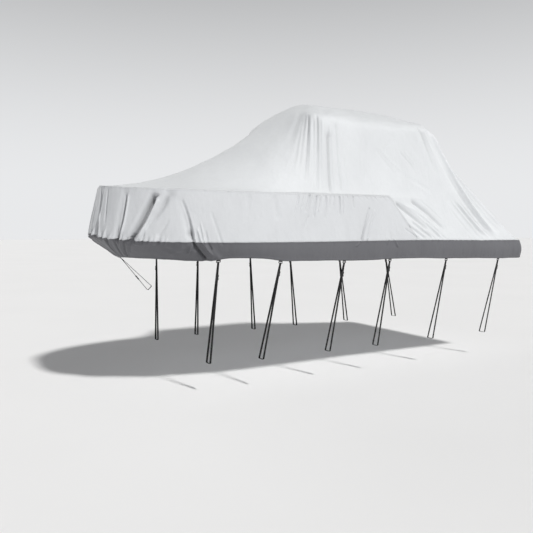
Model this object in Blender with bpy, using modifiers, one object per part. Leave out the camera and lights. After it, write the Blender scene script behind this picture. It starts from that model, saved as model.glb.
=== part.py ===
"""A fitted cover for a boat with a hard top, in the shape in which it hangs on the boat.

The boat, its trailer and the ground aren't part of it. x runs aft, y to starboard and z up,
in metres. The origin is under the middle of the roof, where the boat's hard top holds the
cover up. Heights in the tables are above the ground, and the ground is ROOF_HEIGHT below the origin.
"""

import bpy
import bmesh
import numpy as np
from mathutils import Vector

# Driving sizes
ROOF_HEIGHT = 3.7014
HALF_BEAM = 1.29
STERN_HALF_BEAM = 1.265
BOW_X = -3.61
STERN_X = 2.67
BOW_LENGTH = 2.5
BOW_FULLNESS = 2.45
STERN_CORNER = 0.10
RAIL_INSET = 0.115
ROOF_FRONT_X = -0.99
ROOF_AFT_X = 1.05
ROOF_HALF_WIDTH = 0.95
ROOF_CORNER = 0.20
ROOF_EDGE_HEIGHT = 3.40
ROOF_EDGE_SAG = 0.045
ROOF_FULLNESS = 1.9
ROOF_ROUNDING = 0.12
CLOTH = 0.002
SEAM_GAP = 0.0003
CREASED_SEAM_GAP = 0.0026
LOOP_GAP = 0.0025
BAR_GAP = 0.0004

# The webbing straps, the loops that hold them to the hem, and their buckles
WEB_WIDTH = 0.025
WEB_THICKNESS = 0.002
RAIL_UNDERSIDE = 0.35
RAIL_WIDTH = 0.10
FOOT_ROUNDING = 0.012
LOOP_WIDTH = 0.052
LOOP_TAIL = 0.040
LOOP_DROP = 0.034
LOOP_SLOT = (0.034, 0.012)
LOOP_BAR = 0.007
LOOP_CHAMFER = 0.008
STRAP_DROP = 0.004
BUCKLE_LENGTH = 0.062
BUCKLE_WIDTH = 0.040
BUCKLE_THICKNESS = 0.011
BOW_FOOT_X = -2.89
BOW_FOOT_HEIGHT = 1.15
BOW_POST_DEPTH = 0.05
BOW_BUCKLE = 0.30


def table(columns, *rows):
    """Rows of numbers under named columns."""
    return [dict(zip(columns.split(), row)) for row in rows]


# How the section changes along the half outline, bow to stern. gunwale, rail and roof are
# distances along those edges, and spine is the place on the ridge. Between the rail and the roof
# the height rises as share ** bend and the cloth hangs in by hollow. tent is 1 where there is no rail.
SECTIONS = table(
    "edge  gunwale  rail  roof  spine  bend  hollow  tent",
    (0.00, 0.00, 0.00, 0.00, -0.76, 1.85, 0.00, 0),
    (0.20, 1.55, 1.55, 0.45, -0.70, 1.66, 0.00, 0),
    (0.40, 3.05, 3.05, 0.90, -0.62, 1.05, 0.03, 0),
    (0.56, 4.71, 4.28, 2.00, +0.08, 1.00, 0.03, 0),
    (0.64, 5.35, 5.10, 2.50, +0.42, 1.00, 0.04, 1),
    (0.74, 6.10, 5.95, 2.86, +0.68, 1.00, 0.06, 1),
    (0.86, 6.80, 6.65, 3.10, +0.78, 1.00, 0.11, 1),
    (1.00, 8.13, 8.13, 3.77, +0.86, 1.10, 0.08, 1),
)

# Heights and insets along the gunwale, by distance from the bow's middle
EDGES = table(
    "along  gunwale  rail  hem  hem_inset  bulge",
    (0.0, 1.872, 2.45, 1.566, 0.360, 0.00),
    (0.3, 1.822, 2.43, 1.570, 0.330, 0.00),
    (0.8, 1.786, 2.40, 1.567, 0.240, 0.00),
    (1.6, 1.767, 2.37, 1.550, 0.110, 0.01),
    (2.4, 1.764, 2.36, 1.532, 0.045, 0.01),
    (4.7, 1.772, 2.36, 1.512, 0.030, 0.01),
    (6.6, 1.757, 2.30, 1.486, 0.000, 0.03),
    (8.2, 1.757, 2.30, 1.486, 0.000, 0.03),
)

# The ridge of the roof, from the middle of its front edge to the middle of its aft edge
ROOF_CROWN = table(
    "x  height",
    (-0.99, 3.545),
    (-0.62, 3.710),
    (-0.10, 3.712),
    (+0.55, 3.700),
    (+1.05, 3.610),
)

# How far the hem's edge rises halfway between two straps
SCALLOPS = table(
    "along  reach  rise",
    (0.65, 0.60, 0.012),
    (2.12, 0.37, 0.042),
    (2.98, 0.46, 0.010),
    (4.60, 0.55, 0.014),
    (5.70, 0.50, 0.008),
)

# The main folds. Each runs on the cloth from one edge and level to another, where edge is the
# share of the half outline from bow to stern, and level is 0 at the hem, 1 at the gunwale, 2 at
# the bow rail, 3 at the roof's edge and 4 on its ridge. depth is how far the fold's line moves in
# at each end, below 0 for a ridge, and side is -1 for port, 1 for starboard and 0 for both.
FOLDS = table(
    "side  edge  level  to_edge  to_level  width  depth  to_depth",
    # The bow, where the cloth is gathered round the curve
    (+0, 0.022, 1.00, 0.018, 1.95, 0.05, +0.020, +0.012),
    (-1, 0.069, 0.95, 0.076, 1.88, 0.05, +0.022, +0.010),
    (-1, 0.094, 0.92, 0.131, 1.86, 0.05, +0.034, +0.046),
    (-1, 0.120, 1.30, 0.152, 1.88, 0.06, +0.012, +0.020),
    (+1, 0.062, 0.95, 0.082, 1.86, 0.05, +0.026, +0.012),
    (+1, 0.112, 0.94, 0.140, 1.80, 0.06, +0.030, +0.018),
    # The pair at the first side strap, with a ridge between them
    (-1, 0.208, 0.10, 0.184, 1.16, 0.05, +0.020, +0.018),
    (-1, 0.184, 1.16, 0.170, 1.75, 0.05, +0.018, +0.006),
    (-1, 0.228, 0.15, 0.203, 1.00, 0.04, -0.014, -0.006),
    (+1, 0.196, 0.10, 0.178, 1.55, 0.05, +0.020, +0.008),
    # Under the hard top's front corner, where they fan out to the rail
    (-1, 0.376, 2.20, 0.371, 2.96, 0.06, +0.010, +0.020),
    (-1, 0.409, 2.05, 0.403, 2.95, 0.06, +0.014, +0.022),
    (-1, 0.436, 2.04, 0.433, 2.74, 0.07, +0.020, +0.034),
    (-1, 0.461, 2.05, 0.451, 2.90, 0.06, +0.012, +0.016),
    (+1, 0.396, 2.06, 0.390, 2.95, 0.06, +0.016, +0.024),
    (+1, 0.440, 2.04, 0.432, 2.85, 0.07, +0.022, +0.028),
    # Where the bow rail ends and the cloth drops to the gunwale
    (-1, 0.566, 1.80, 0.584, 1.25, 0.06, +0.024, +0.010),
    (-1, 0.592, 1.88, 0.632, 1.28, 0.06, +0.026, +0.012),
    (+1, 0.578, 1.85, 0.604, 1.25, 0.06, +0.026, +0.012),
    # Down the aft corner and the slope behind the hard top
    (-1, 0.684, 3.00, 0.679, 2.40, 0.08, +0.024, +0.010),
    (-1, 0.750, 2.85, 0.800, 1.15, 0.08, -0.026, -0.014),
    (-1, 0.688, 2.00, 0.728, 1.10, 0.08, +0.014, +0.020),
    (+1, 0.700, 2.95, 0.706, 1.60, 0.08, +0.022, +0.012),
    (+1, 0.750, 2.85, 0.804, 1.15, 0.08, -0.024, -0.014),
    (+0, 0.880, 2.80, 0.900, 1.20, 0.12, +0.020, +0.026),
)

# Where each strap leaves the hem, by x, and where it passes under the trailer's rail
STRAPS = table(
    "number  x  foot_x  foot_y  buckle",
    (1, -2.410, -2.455, 0.83, 0.17),
    (2, -1.675, -1.800, 0.93, 0.12),
    (3, -0.745, -0.820, 0.94, 0.14),
    (4, +0.015, -0.035, 0.95, 0.10),
    (5, +1.050, +1.000, 0.94, 0.09),
    (6, +2.125, +2.090, 0.94, 0.10),
)

# The buckle's sections from its female end to its clip, as shares of its full size
BUCKLE = table(
    "place  width  thickness",
    (-0.50, 0.84, 0.6),
    (-0.25, 1.00, 1.0),
    (+0.00, 0.80, 1.0),
    (+0.25, 1.00, 1.0),
    (+0.50, 0.92, 0.6),
)

BAND_LEVELS = (0.0, 0.5, 1.0)
SIDE_LEVELS = (1.0, 1.25, 1.5, 1.75, 2.0)
AFT_LEVELS = (1.0, 1.33, 1.66, 2.0)
TOP_LEVELS = (2.0, 2.10, 2.26, 2.45, 2.66, 2.86, 3.0, 3.16, 3.45, 3.86)
COLUMNS = table(
    "to_edge  count",
    (0.20, 16),
    (0.40, 14),
    (0.56, 12),
    (0.64, 6),
    (0.74, 5),
    (0.86, 5),
    (1.00, 5),
)
SIDE_END = 0.56
# Where the rail's level crosses a section that has no rail
RAIL_SHARE = 0.36
PORT, STARBOARD = -1, 1
HULL_MIDDLE = Vector((-0.4, 0.0, -1.8))


def read(table, by, column, at):
    """A table's column at the given places, on a smooth curve that never overshoots its rows."""
    x = np.array([row[by] for row in table], float)
    y = np.array([row[column] for row in table], float)
    step, slope = np.diff(x), np.diff(y) / np.diff(x)
    tangent = np.concatenate([slope[:1], 0.5 * (slope[:-1] + slope[1:]), slope[-1:]])
    limit = 3 * np.minimum(np.append(abs(slope), abs(slope[-1])), np.insert(abs(slope), 0, abs(slope[0])))
    turning = np.concatenate([[False], slope[:-1] * slope[1:] <= 0, [False]])
    tangent = np.where(turning, 0.0, np.clip(tangent, -limit, limit))
    at = np.clip(at, x[0], x[-1])
    i = np.clip(np.searchsorted(x, at, side="right") - 1, 0, len(x) - 2)
    h, t = step[i], (at - x[i]) / step[i]
    return (
        y[i] * (1 + 2 * t) * (1 - t) ** 2
        + h * tangent[i] * t * (1 - t) ** 2
        + y[i + 1] * t * t * (3 - 2 * t)
        + h * tangent[i + 1] * t * t * (t - 1)
    )


def arc(centre, radius, start, end, count=16):
    """Points on an arc in the plan, from one angle to another in degrees."""
    turn = np.radians(np.linspace(start, end, count))
    return np.stack([centre[0] + radius * np.cos(turn), centre[1] + radius * np.sin(turn)], -1)


def gunwale_outline():
    """Half of the gunwale's plan, port side, from the bow's middle to the stern's."""
    turn = np.linspace(0, np.pi / 2, 240)
    bow = np.stack(
        [BOW_X + BOW_LENGTH * (1 - np.cos(turn) ** (2 / BOW_FULLNESS)), -HALF_BEAM * np.sin(turn)], -1
    )
    corner = arc((STERN_X - STERN_CORNER, STERN_CORNER - STERN_HALF_BEAM), STERN_CORNER, -90, 0)
    return np.concatenate([bow, corner, [[STERN_X, 0.0]]])


def roof_outline():
    """Half of the hard top's plan, port side, from the middle of its front edge to its aft edge's."""
    fore, aft = ROOF_FRONT_X + ROOF_CORNER, ROOF_AFT_X - ROOF_CORNER
    side = ROOF_CORNER - ROOF_HALF_WIDTH
    return np.concatenate(
        [
            [[ROOF_FRONT_X, 0.0]],
            arc((fore, side), ROOF_CORNER, -180, -90),
            arc((aft, side), ROOF_CORNER, -90, 0),
            [[ROOF_AFT_X, 0.0]],
        ]
    )


def along(outline, distance):
    """The points at these distances along an outline, and its outward direction there."""
    legs = np.linalg.norm(np.diff(outline, axis=0), axis=1)
    ruler = np.insert(np.cumsum(legs), 0, 0.0)
    distance = np.clip(distance, 0, ruler[-1])

    def place(d):
        return np.stack([np.interp(d, ruler, outline[:, k]) for k in range(2)], -1)

    reach = 0.04
    ahead = place(np.minimum(distance + reach, ruler[-1])) - place(np.maximum(distance - reach, 0))
    # At either end the outline meets its mirror image, so it runs straight across there
    ahead[distance < reach, 0] *= distance[distance < reach] / reach
    ahead /= np.linalg.norm(ahead, axis=-1, keepdims=True)
    return place(distance), np.stack([ahead[..., 1], -ahead[..., 0]], -1)


GUNWALE = gunwale_outline()
ROOF = roof_outline()


def roof_height(x, y):
    """The roof's height: a long crown that falls to the hard top's edges."""
    crown = read(ROOF_CROWN, "x", "height", x)
    along_edge = (x - ROOF_FRONT_X) / (ROOF_AFT_X - ROOF_FRONT_X)
    edge = ROOF_EDGE_HEIGHT - ROOF_EDGE_SAG * np.sin(np.pi * np.clip(along_edge, 0, 1))
    return edge + (crown - edge) * (1 - np.clip(abs(y) / ROOF_HALF_WIDTH, 0, 1) ** ROOF_FULLNESS)


def mix(a, b, share):
    return a + (b - a) * np.asarray(share)[..., None]


def hollowing(share):
    """How hollow the cloth hangs between its ends: 0 at both, and 1 a third of the way up."""
    return 2.6 * np.sqrt(share) * (1 - share)


def slope(low, high, share, bend, inward):
    """From one edge up to another: the height rises as the bend says, and the plan is pulled inward."""
    place = mix(low, high, share)
    place[..., 2] = low[..., 2] + (high[..., 2] - low[..., 2]) * share**bend
    place[..., :2] += inward * hollowing(share)[..., None]
    return place


def stretched(edge, level):
    """Points on the port side of the cloth as the boat stretches it, before it is rounded or folded."""
    run = read(SECTIONS, "edge", "gunwale", edge)
    plan, out = along(GUNWALE, run)
    gunwale = np.concatenate([plan, read(EDGES, "along", "gunwale", run)[..., None]], -1)
    rise = sum(row["rise"] * np.exp(-(((run - row["along"]) / row["reach"]) ** 4)) for row in SCALLOPS)
    hem_plan = plan - out * read(EDGES, "along", "hem_inset", run)[..., None]
    bulge = read(EDGES, "along", "bulge", run)
    hem = np.concatenate([hem_plan, (read(EDGES, "along", "hem", run) + rise)[..., None]], -1)

    rail_run = read(SECTIONS, "edge", "rail", edge)
    rail_plan, rail_out = along(GUNWALE, rail_run)
    rail_height = read(EDGES, "along", "rail", rail_run)[..., None]
    rail = np.concatenate([rail_plan - RAIL_INSET * rail_out, rail_height], -1)

    roof_plan, roof_out = along(ROOF, read(SECTIONS, "edge", "roof", edge))
    roof = np.concatenate([roof_plan, roof_height(roof_plan[..., 0], roof_plan[..., 1])[..., None]], -1)
    spine = read(SECTIONS, "edge", "spine", edge)
    bend = read(SECTIONS, "edge", "bend", edge)
    hollow = read(SECTIONS, "edge", "hollow", edge)
    tent = read(SECTIONS, "edge", "tent", edge)

    band = np.clip(level, 0, 1)
    side = np.clip(level - 1, 0, 1)
    wall = np.clip(level - 2, 0, 1)
    dome = np.clip(level - 3, 0, 1)

    inward = -roof_out * hollow[..., None]
    railed = np.where((level > 2)[..., None], slope(rail, roof, wall, bend, inward), mix(gunwale, rail, side))
    tented = slope(gunwale, roof, RAIL_SHARE * side + (1 - RAIL_SHARE) * wall, bend, inward)
    cloth = mix(railed, tented, tent)

    over = mix(roof_plan, np.stack([spine, 0 * spine], -1), dome)
    top = np.concatenate([over, roof_height(over[..., 0], over[..., 1])[..., None]], -1)
    cloth = np.where((level > 3)[..., None], top, cloth)
    skirt = mix(hem, gunwale, band)
    skirt[..., :2] += out * (bulge * np.sin(np.pi * band))[..., None]
    return np.where((level < 1)[..., None], skirt, cloth)


def rounded(edge, level):
    """The stretched cloth, rounded where it turns over the hard top's edge."""
    edge, level = np.broadcast_arrays(np.asarray(edge, float), np.asarray(level, float))
    roof = stretched(edge, np.full_like(level, 3.0))
    below = np.linalg.norm(roof - stretched(edge, np.full_like(level, 2.0)), axis=-1)
    above = np.linalg.norm(roof - stretched(edge, np.full_like(level, 4.0)), axis=-1)
    reach = np.minimum(ROOF_ROUNDING, 0.45 * above)
    height = np.where(level > 3, (level - 3) * above, (level - 3) * below)
    total = 0.0
    taps = np.linspace(-1, 1, 7)
    for tap in taps:
        moved = height + tap * reach
        shifted = 3 + np.where(moved > 0, moved / above, moved / below)
        total = total + stretched(edge, np.where(abs(height) < reach, shifted, level))
    return total / len(taps)


def facing(edge, level):
    """The cloth's outward direction on the port side."""
    step = 0.002
    ahead = rounded(np.minimum(edge + step, 1), level) - rounded(np.maximum(edge - step, 0), level)
    up = rounded(edge, np.minimum(level + step, 4)) - rounded(edge, np.maximum(level - step, 0))
    # At either end the cloth meets its mirror image, so it runs straight across there
    ahead[edge == 0] = (0.0, -1.0, 0.0)
    ahead[edge == 1] = (0.0, 1.0, 0.0)
    out = np.cross(ahead, up)
    return out / np.linalg.norm(out, axis=-1, keepdims=True)


def creased(places, out, side):
    """How far the folds move these places in."""
    total = np.zeros(len(places))
    for fold in FOLDS:
        if fold["side"] not in (0, side):
            continue
        share = np.linspace(0, 1, 25)
        line = rounded(
            fold["edge"] + (fold["to_edge"] - fold["edge"]) * share,
            fold["level"] + (fold["to_level"] - fold["level"]) * share,
        )
        away = places[:, None] - line[None]
        away = away - out[:, None] * np.sum(away * out[:, None], -1, keepdims=True)
        distance = np.linalg.norm(away, axis=-1)
        nearest = distance.argmin(1)
        depth = fold["depth"] + (fold["to_depth"] - fold["depth"]) * share[nearest]
        across = distance[np.arange(len(places)), nearest] / fold["width"]
        total += depth * (1 - 0.6 * across**2) * np.exp(-(across**2))
    return total


def cover_points(edge, level, side):
    """Points on the finished cover's outer face, in the part's own frame."""
    edge, level = (np.asarray(v, float) for v in (edge, level))
    places, out = rounded(edge, level), facing(edge, level)
    places = places - out * creased(places, out, side)[:, None]
    places[:, 1] *= -side
    places[:, 2] -= ROOF_HEIGHT
    return places


def columns(start, end):
    """The edges at which the cloth is cut into columns, with the given ends."""
    edges, last = [0.0], 0.0
    for row in COLUMNS:
        edges += list(np.linspace(last, row["to_edge"], row["count"] + 1)[1:])
        last = row["to_edge"]
    inner = [e for e in edges if start + 1e-3 < e < end - 1e-3]
    return np.array([start, *inner, end])


# --- Building ---


def new_material(name, colour, roughness, metallic=0.0):
    material = bpy.data.materials.new(name)
    material.use_nodes = True
    shader = material.node_tree.nodes["Principled BSDF"]
    shader.inputs["Base Color"].default_value = (*colour, 1.0)
    shader.inputs["Roughness"].default_value = roughness
    shader.inputs["Metallic"].default_value = metallic
    return material


def add_object(name, bm, material, collection, inside=None):
    """Makes a mesh an object of its own, faces pointing out, or away from a point inside an open sheet."""
    bm.normal_update()
    bmesh.ops.recalc_face_normals(bm, faces=bm.faces)
    if inside and sum(f.normal.dot(f.calc_center_median() - inside) * f.calc_area() for f in bm.faces) < 0:
        bmesh.ops.reverse_faces(bm, faces=bm.faces)
    mesh = bpy.data.meshes.new(name)
    bm.to_mesh(mesh)
    bm.free()
    mesh.materials.append(material)
    new = bpy.data.objects.new(name, mesh)
    collection.objects.link(new)
    return new


def thicken(new, thickness, offset):
    """Gives a sheet its thickness: offset is -1 inward and 0 to both sides."""
    solid = new.modifiers.new("Thickness", "SOLIDIFY")
    solid.thickness = thickness
    solid.offset = offset
    return new


def add_grid(bm, rows, closed=False):
    """Faces between rows of points. Each row has as many points as the next."""
    verts = [[bm.verts.new(point) for point in row] for row in rows]
    count = len(rows[0])
    for low, high in zip(verts, verts[1:]):
        for k in range(count if closed else count - 1):
            n = (k + 1) % count
            bm.faces.new((low[k], low[n], high[n], high[k]))
    return verts


def row_around(edges, level):
    """One row of points from port round the stern to starboard, or all round from the bow."""
    level = np.full(len(edges), level)
    port = cover_points(edges, level, PORT)
    starboard = cover_points(edges, level, STARBOARD)[::-1]
    # The two sides share their point at the stern, and at the bow where the row starts there
    ends = slice(1, -1) if edges[0] == 0 else slice(1, None)
    return np.concatenate([port, starboard[ends]])


def stop_short(row, neighbour, gap):
    """Moves a row of points this far towards the next row, which leaves room at a seam."""
    towards = neighbour - row
    return row + towards * gap / np.linalg.norm(towards, axis=-1, keepdims=True)


def add_band(material, collection):
    """The dark band that goes all round, from the hem to the gunwale's seam."""
    bm = bmesh.new()
    edges = columns(0.0, 1.0)
    rows = [row_around(edges, level) for level in BAND_LEVELS]
    rows[-1] = stop_short(rows[-1], rows[-2], CREASED_SEAM_GAP)
    add_grid(bm, rows, closed=True)
    return thicken(add_object("skirt_band", bm, material, collection, HULL_MIDDLE), CLOTH, -1)


def add_side(name, side, material, collection):
    """The panel between the band and the bow rail on one side, from the bow's seam aft."""
    bm = bmesh.new()
    edges = columns(0.0, SIDE_END)
    rows = np.array([cover_points(edges, np.full(len(edges), level), side) for level in SIDE_LEVELS])
    rows[-1] = stop_short(rows[-1], rows[-2], CREASED_SEAM_GAP)
    rows[:, 0] = stop_short(rows[:, 0], rows[:, 1], CREASED_SEAM_GAP / 2)
    rows[:, -1] = stop_short(rows[:, -1], rows[:, -2], SEAM_GAP)
    add_grid(bm, rows)
    return thicken(add_object(name, bm, material, collection, HULL_MIDDLE), CLOTH, -1)


def add_top(material, collection):
    """The white top: over the roof and the bow, and aft of the rails down to the band."""
    bm = bmesh.new()
    edges = columns(0.0, 1.0)
    rows = [row_around(edges, level) for level in TOP_LEVELS]
    inner = add_grid(bm, rows, closed=True)[-1]
    half = len(edges)
    for k in range(half - 1):
        far = (-k) % len(inner), (-k - 1) % len(inner)
        corners = [inner[k], inner[k + 1], inner[far[1]], inner[far[0]]]
        bm.faces.new(list(dict.fromkeys(corners)))
    aft = columns(SIDE_END, 1.0)
    add_grid(bm, [row_around(aft, level) for level in AFT_LEVELS])
    bmesh.ops.remove_doubles(bm, verts=bm.verts, dist=1e-5)
    return thicken(add_object("top_panel", bm, material, collection, HULL_MIDDLE), CLOTH, -1)


def ribbon(name, points, across, material, collection):
    """Flat webbing along a route. across is the direction of its width at each point."""
    half = np.asarray(across) * WEB_WIDTH / 2
    bm = bmesh.new()
    add_grid(bm, [points - half, points + half])
    return thicken(add_object(name, bm, material, collection), WEB_THICKNESS, 0)


def unit(vector):
    return np.asarray(vector, float) / np.linalg.norm(vector)


def hem_frame(edge, side):
    """The hem's place inside the cloth, and its directions along, up and out."""
    low, high = (cover_points([edge], [level], side)[0] for level in BAND_LEVELS[:2])
    run = np.array([0.0, side, 0.0])
    if edge > 0:
        before, after = (cover_points([edge + shift], [0.0], side)[0] for shift in (-0.004, 0.004))
        run = unit(after - before)
    up = unit(high - low)
    out = side * unit(np.cross(up, run))
    return low, run, up, out


def add_loop(name, frame, material, collection):
    """The sewn webbing loop under the hem: a flat tab whose slot the strap passes through."""
    hem, run, up, out = frame
    curve = bpy.data.curves.new(name, "CURVE")
    curve.dimensions, curve.fill_mode, curve.extrude = "2D", "BOTH", WEB_THICKNESS / 2
    half, slot_half = LOOP_WIDTH / 2, LOOP_SLOT[0] / 2
    low = LOOP_BAR - LOOP_DROP
    high = low + LOOP_SLOT[1]
    outline = [
        (-half, LOOP_TAIL),
        (-half, LOOP_CHAMFER - LOOP_DROP),
        (LOOP_CHAMFER - half, -LOOP_DROP),
        (half - LOOP_CHAMFER, -LOOP_DROP),
        (half, LOOP_CHAMFER - LOOP_DROP),
        (half, LOOP_TAIL),
    ]
    slot = [(-slot_half, low), (slot_half, low), (slot_half, high), (-slot_half, high)]
    for ring in (outline, slot):
        spline = curve.splines.new("POLY")
        spline.points.add(len(ring) - 1)
        for point, (x, y) in zip(spline.points, ring):
            point.co = (x, y, 0, 1)
        spline.use_cyclic_u = True
    guide = bpy.data.objects.new(name, curve)
    collection.objects.link(guide)
    bpy.context.view_layer.update()
    mesh = bpy.data.meshes.new_from_object(guide.evaluated_get(bpy.context.evaluated_depsgraph_get()))
    bpy.data.objects.remove(guide)
    bm = bmesh.new()
    bm.from_mesh(mesh)
    bpy.data.meshes.remove(mesh)
    bmesh.ops.remove_doubles(bm, verts=bm.verts, dist=1e-5)
    behind = hem - out * (CLOTH + LOOP_GAP + WEB_THICKNESS / 2)
    for vert in bm.verts:
        x, y, z = vert.co
        vert.co = behind + run * x + up * y + out * z
    return add_object(name, bm, material, collection)


def add_buckle(name, centre, down, across, material, collection):
    """A side-release buckle: a flat body, narrower at the clip's end, with notches at its sides."""
    bm = bmesh.new()
    bmesh.ops.create_cube(bm, size=1.0)
    lengthwise = [e for e in bm.edges if abs(e.verts[0].co.y - e.verts[1].co.y) > 0.5]
    bmesh.ops.subdivide_edges(bm, edges=lengthwise, cuts=len(BUCKLE) - 2)
    normal = unit(np.cross(across, down))
    for vert in bm.verts:
        x, y, z = vert.co
        row = min(BUCKLE, key=lambda row: abs(row["place"] - y))
        x *= BUCKLE_WIDTH * row["width"]
        z *= BUCKLE_THICKNESS * row["thickness"]
        vert.co = centre + across * x + down * y * BUCKLE_LENGTH + normal * z
    return add_object(name, bm, material, collection)


def turn_under(start, corner_a, corner_b, end, rounding):
    """A route down to one corner, across to the other and up again, with round corners."""
    route = [start]
    for before, corner, after in ((start, corner_a, corner_b), (corner_a, corner_b, end)):
        into, away = unit(before - corner), unit(after - corner)
        for share in (0.0, 0.3, 0.7, 1.0):
            near, far = corner + into * rounding * (1 - share), corner + away * rounding * share
            route.append(near + (far - near) * share)
    return route + [end]


def add_strap(label, frame, feet, foot_across, buckle_at, materials, collection):
    """A tie-down strap: over the loop's bar, down both sides of the trailer's rail, and its buckle."""
    hem, run, up, out = frame
    bar = hem - out * (CLOTH + LOOP_GAP + WEB_THICKNESS / 2) - up * (LOOP_DROP - LOOP_BAR)
    clear = WEB_THICKNESS + BAR_GAP
    over = [bar + clear * (out * np.cos(turn) + up * np.sin(turn)) for turn in np.linspace(0, np.pi, 5)]
    below = up * (LOOP_BAR + STRAP_DROP)
    outer, inner = over[0] - below, over[-1] - below
    foot_outer, foot_inner = feet
    down = unit(foot_outer - outer)
    reach = BUCKLE_LENGTH / 2 + SEAM_GAP
    buckle = outer + down * buckle_at
    first = [buckle - down * reach, outer, *over, inner]
    last = turn_under(inner, foot_inner, foot_outer, buckle + down * reach, FOOT_ROUNDING)
    route = np.array(first + last[1:])
    foot_from = len(first)
    share = np.clip((np.arange(len(route)) - foot_from + 1) / 2, 0, 1)
    share[-1] = 0.0
    across = np.array([unit(run * (1 - s) + foot_across * s) for s in share])
    ribbon(f"strap_{label}", route, across, materials["webbing"], collection)
    add_buckle(f"buckle_{label}", buckle, down, run, materials["buckle"], collection)


def edge_at_hem(x):
    """The edge at which the hem passes this x, on either side of the boat."""
    edges = np.linspace(0.02, 0.84, 400)
    return float(np.interp(x, rounded(edges, 0 * edges)[:, 0], edges))


def add_straps(materials, collection):
    """Every strap with its loop and buckle, six a side and one at the bow."""
    for side, word in ((PORT, "port"), (STARBOARD, "starboard")):
        for row in STRAPS:
            label = f"{word}_{row['number']}"
            frame = hem_frame(edge_at_hem(row["x"]), side)
            add_loop(f"loop_{label}", frame, materials["webbing"], collection)
            z = RAIL_UNDERSIDE - ROOF_HEIGHT
            feet = [np.array([row["foot_x"], side * (row["foot_y"] + out), z]) for out in (RAIL_WIDTH, 0.0)]
            across = np.array([np.sign(frame[1][0]), 0.0, 0.0])
            add_strap(label, frame, feet, across, row["buckle"], materials, collection)
    frame = hem_frame(0.0, PORT)
    add_loop("loop_bow", frame, materials["webbing"], collection)
    z = BOW_FOOT_HEIGHT - ROOF_HEIGHT
    feet = [np.array([BOW_FOOT_X + back, 0.0, z + back]) for back in (0.0, BOW_POST_DEPTH)]
    add_strap("bow", frame, feet, frame[1], BOW_BUCKLE, materials, collection)


def main():
    for old in list(bpy.data.objects):
        bpy.data.objects.remove(old)
    collection = bpy.data.collections.new("boat_cover")
    bpy.context.scene.collection.children.link(collection)
    materials = {
        "top": new_material("white_polyester", (0.82, 0.83, 0.84), 0.62),
        "side": new_material("light_grey_polyester", (0.66, 0.68, 0.69), 0.62),
        "band": new_material("dark_grey_polyester", (0.155, 0.157, 0.166), 0.66),
        "webbing": new_material("black_webbing", (0.012, 0.012, 0.013), 0.75),
        "buckle": new_material("black_plastic", (0.010, 0.010, 0.010), 0.42),
    }
    add_top(materials["top"], collection)
    add_side("side_panel_port", PORT, materials["side"], collection)
    add_side("side_panel_starboard", STARBOARD, materials["side"], collection)
    add_band(materials["band"], collection)
    add_straps(materials, collection)


main()
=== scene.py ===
"""The looks of a fitted cover for a boat with a hard top: cloth, folds, seams, straps and buckles.

x runs aft, y to starboard and z up, in metres. The origin is under the middle of the roof, where
the boat's hard top holds the cover up. The boat itself isn't part of it.
"""

import logging
import math
import random
from dataclasses import dataclass, field
from enum import Enum
from itertools import zip_longest
from typing import Any

import bmesh
import bpy
import numpy as np
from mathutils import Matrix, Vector, noise


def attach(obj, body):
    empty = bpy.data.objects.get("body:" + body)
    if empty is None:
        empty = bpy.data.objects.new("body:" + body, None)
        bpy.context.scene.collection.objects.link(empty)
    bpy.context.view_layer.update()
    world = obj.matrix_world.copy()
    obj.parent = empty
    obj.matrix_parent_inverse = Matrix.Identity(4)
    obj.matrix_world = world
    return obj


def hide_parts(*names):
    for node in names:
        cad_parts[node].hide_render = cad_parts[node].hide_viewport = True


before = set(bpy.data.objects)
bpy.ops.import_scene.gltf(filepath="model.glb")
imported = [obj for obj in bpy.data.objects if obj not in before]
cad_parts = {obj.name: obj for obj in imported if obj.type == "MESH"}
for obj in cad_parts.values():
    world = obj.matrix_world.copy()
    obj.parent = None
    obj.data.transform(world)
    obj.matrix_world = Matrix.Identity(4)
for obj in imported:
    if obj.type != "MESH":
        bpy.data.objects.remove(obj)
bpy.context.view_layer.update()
LOG = logging.getLogger("boat_cover")


class Side(Enum):
    """A side of the boat, as the sign of its y."""

    PORT = -1
    STARBOARD = 1

    @property
    def word(self) -> str:
        """The side's name in node names."""
        return self.name.lower()


class Table:
    """Rows of numbers under named columns."""

    def __init__(self, columns: str, *rows: tuple[float, ...]) -> None:
        """Stores the rows under the columns' names, where a short row ends in zeros."""
        self.rows = [dict(zip_longest(columns.split(), row, fillvalue=0)) for row in rows]

    def curve(self, by: str, column: str, at: np.ndarray) -> np.ndarray:
        """Reads a column on a smooth curve that never overshoots its rows.

        Args:
            by: The column that the places are given in.
            column: The column to read.
            at: The places.

        Returns:
            The column's value at each place.
        """
        x = np.array([row[by] for row in self.rows], float)
        y = np.array([row[column] for row in self.rows], float)
        step, slope = np.diff(x), np.diff(y) / np.diff(x)
        tangent = np.concatenate([slope[:1], 0.5 * (slope[:-1] + slope[1:]), slope[-1:]])
        before = np.insert(abs(slope), 0, abs(slope[0]))
        after = np.append(abs(slope), abs(slope[-1]))
        limit = 3 * np.minimum(before, after)
        turning = np.concatenate([[False], slope[:-1] * slope[1:] <= 0, [False]])
        tangent = np.where(turning, 0.0, np.clip(tangent, -limit, limit))
        at = np.clip(at, x[0], x[-1])
        i = np.clip(np.searchsorted(x, at, side="right") - 1, 0, len(x) - 2)
        h, t = step[i], (at - x[i]) / step[i]
        return (
            y[i] * (1 + 2 * t) * (1 - t) ** 2
            + h * tangent[i] * t * (1 - t) ** 2
            + y[i + 1] * t * t * (3 - 2 * t)
            + h * tangent[i + 1] * t * t * (t - 1)
        )


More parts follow.
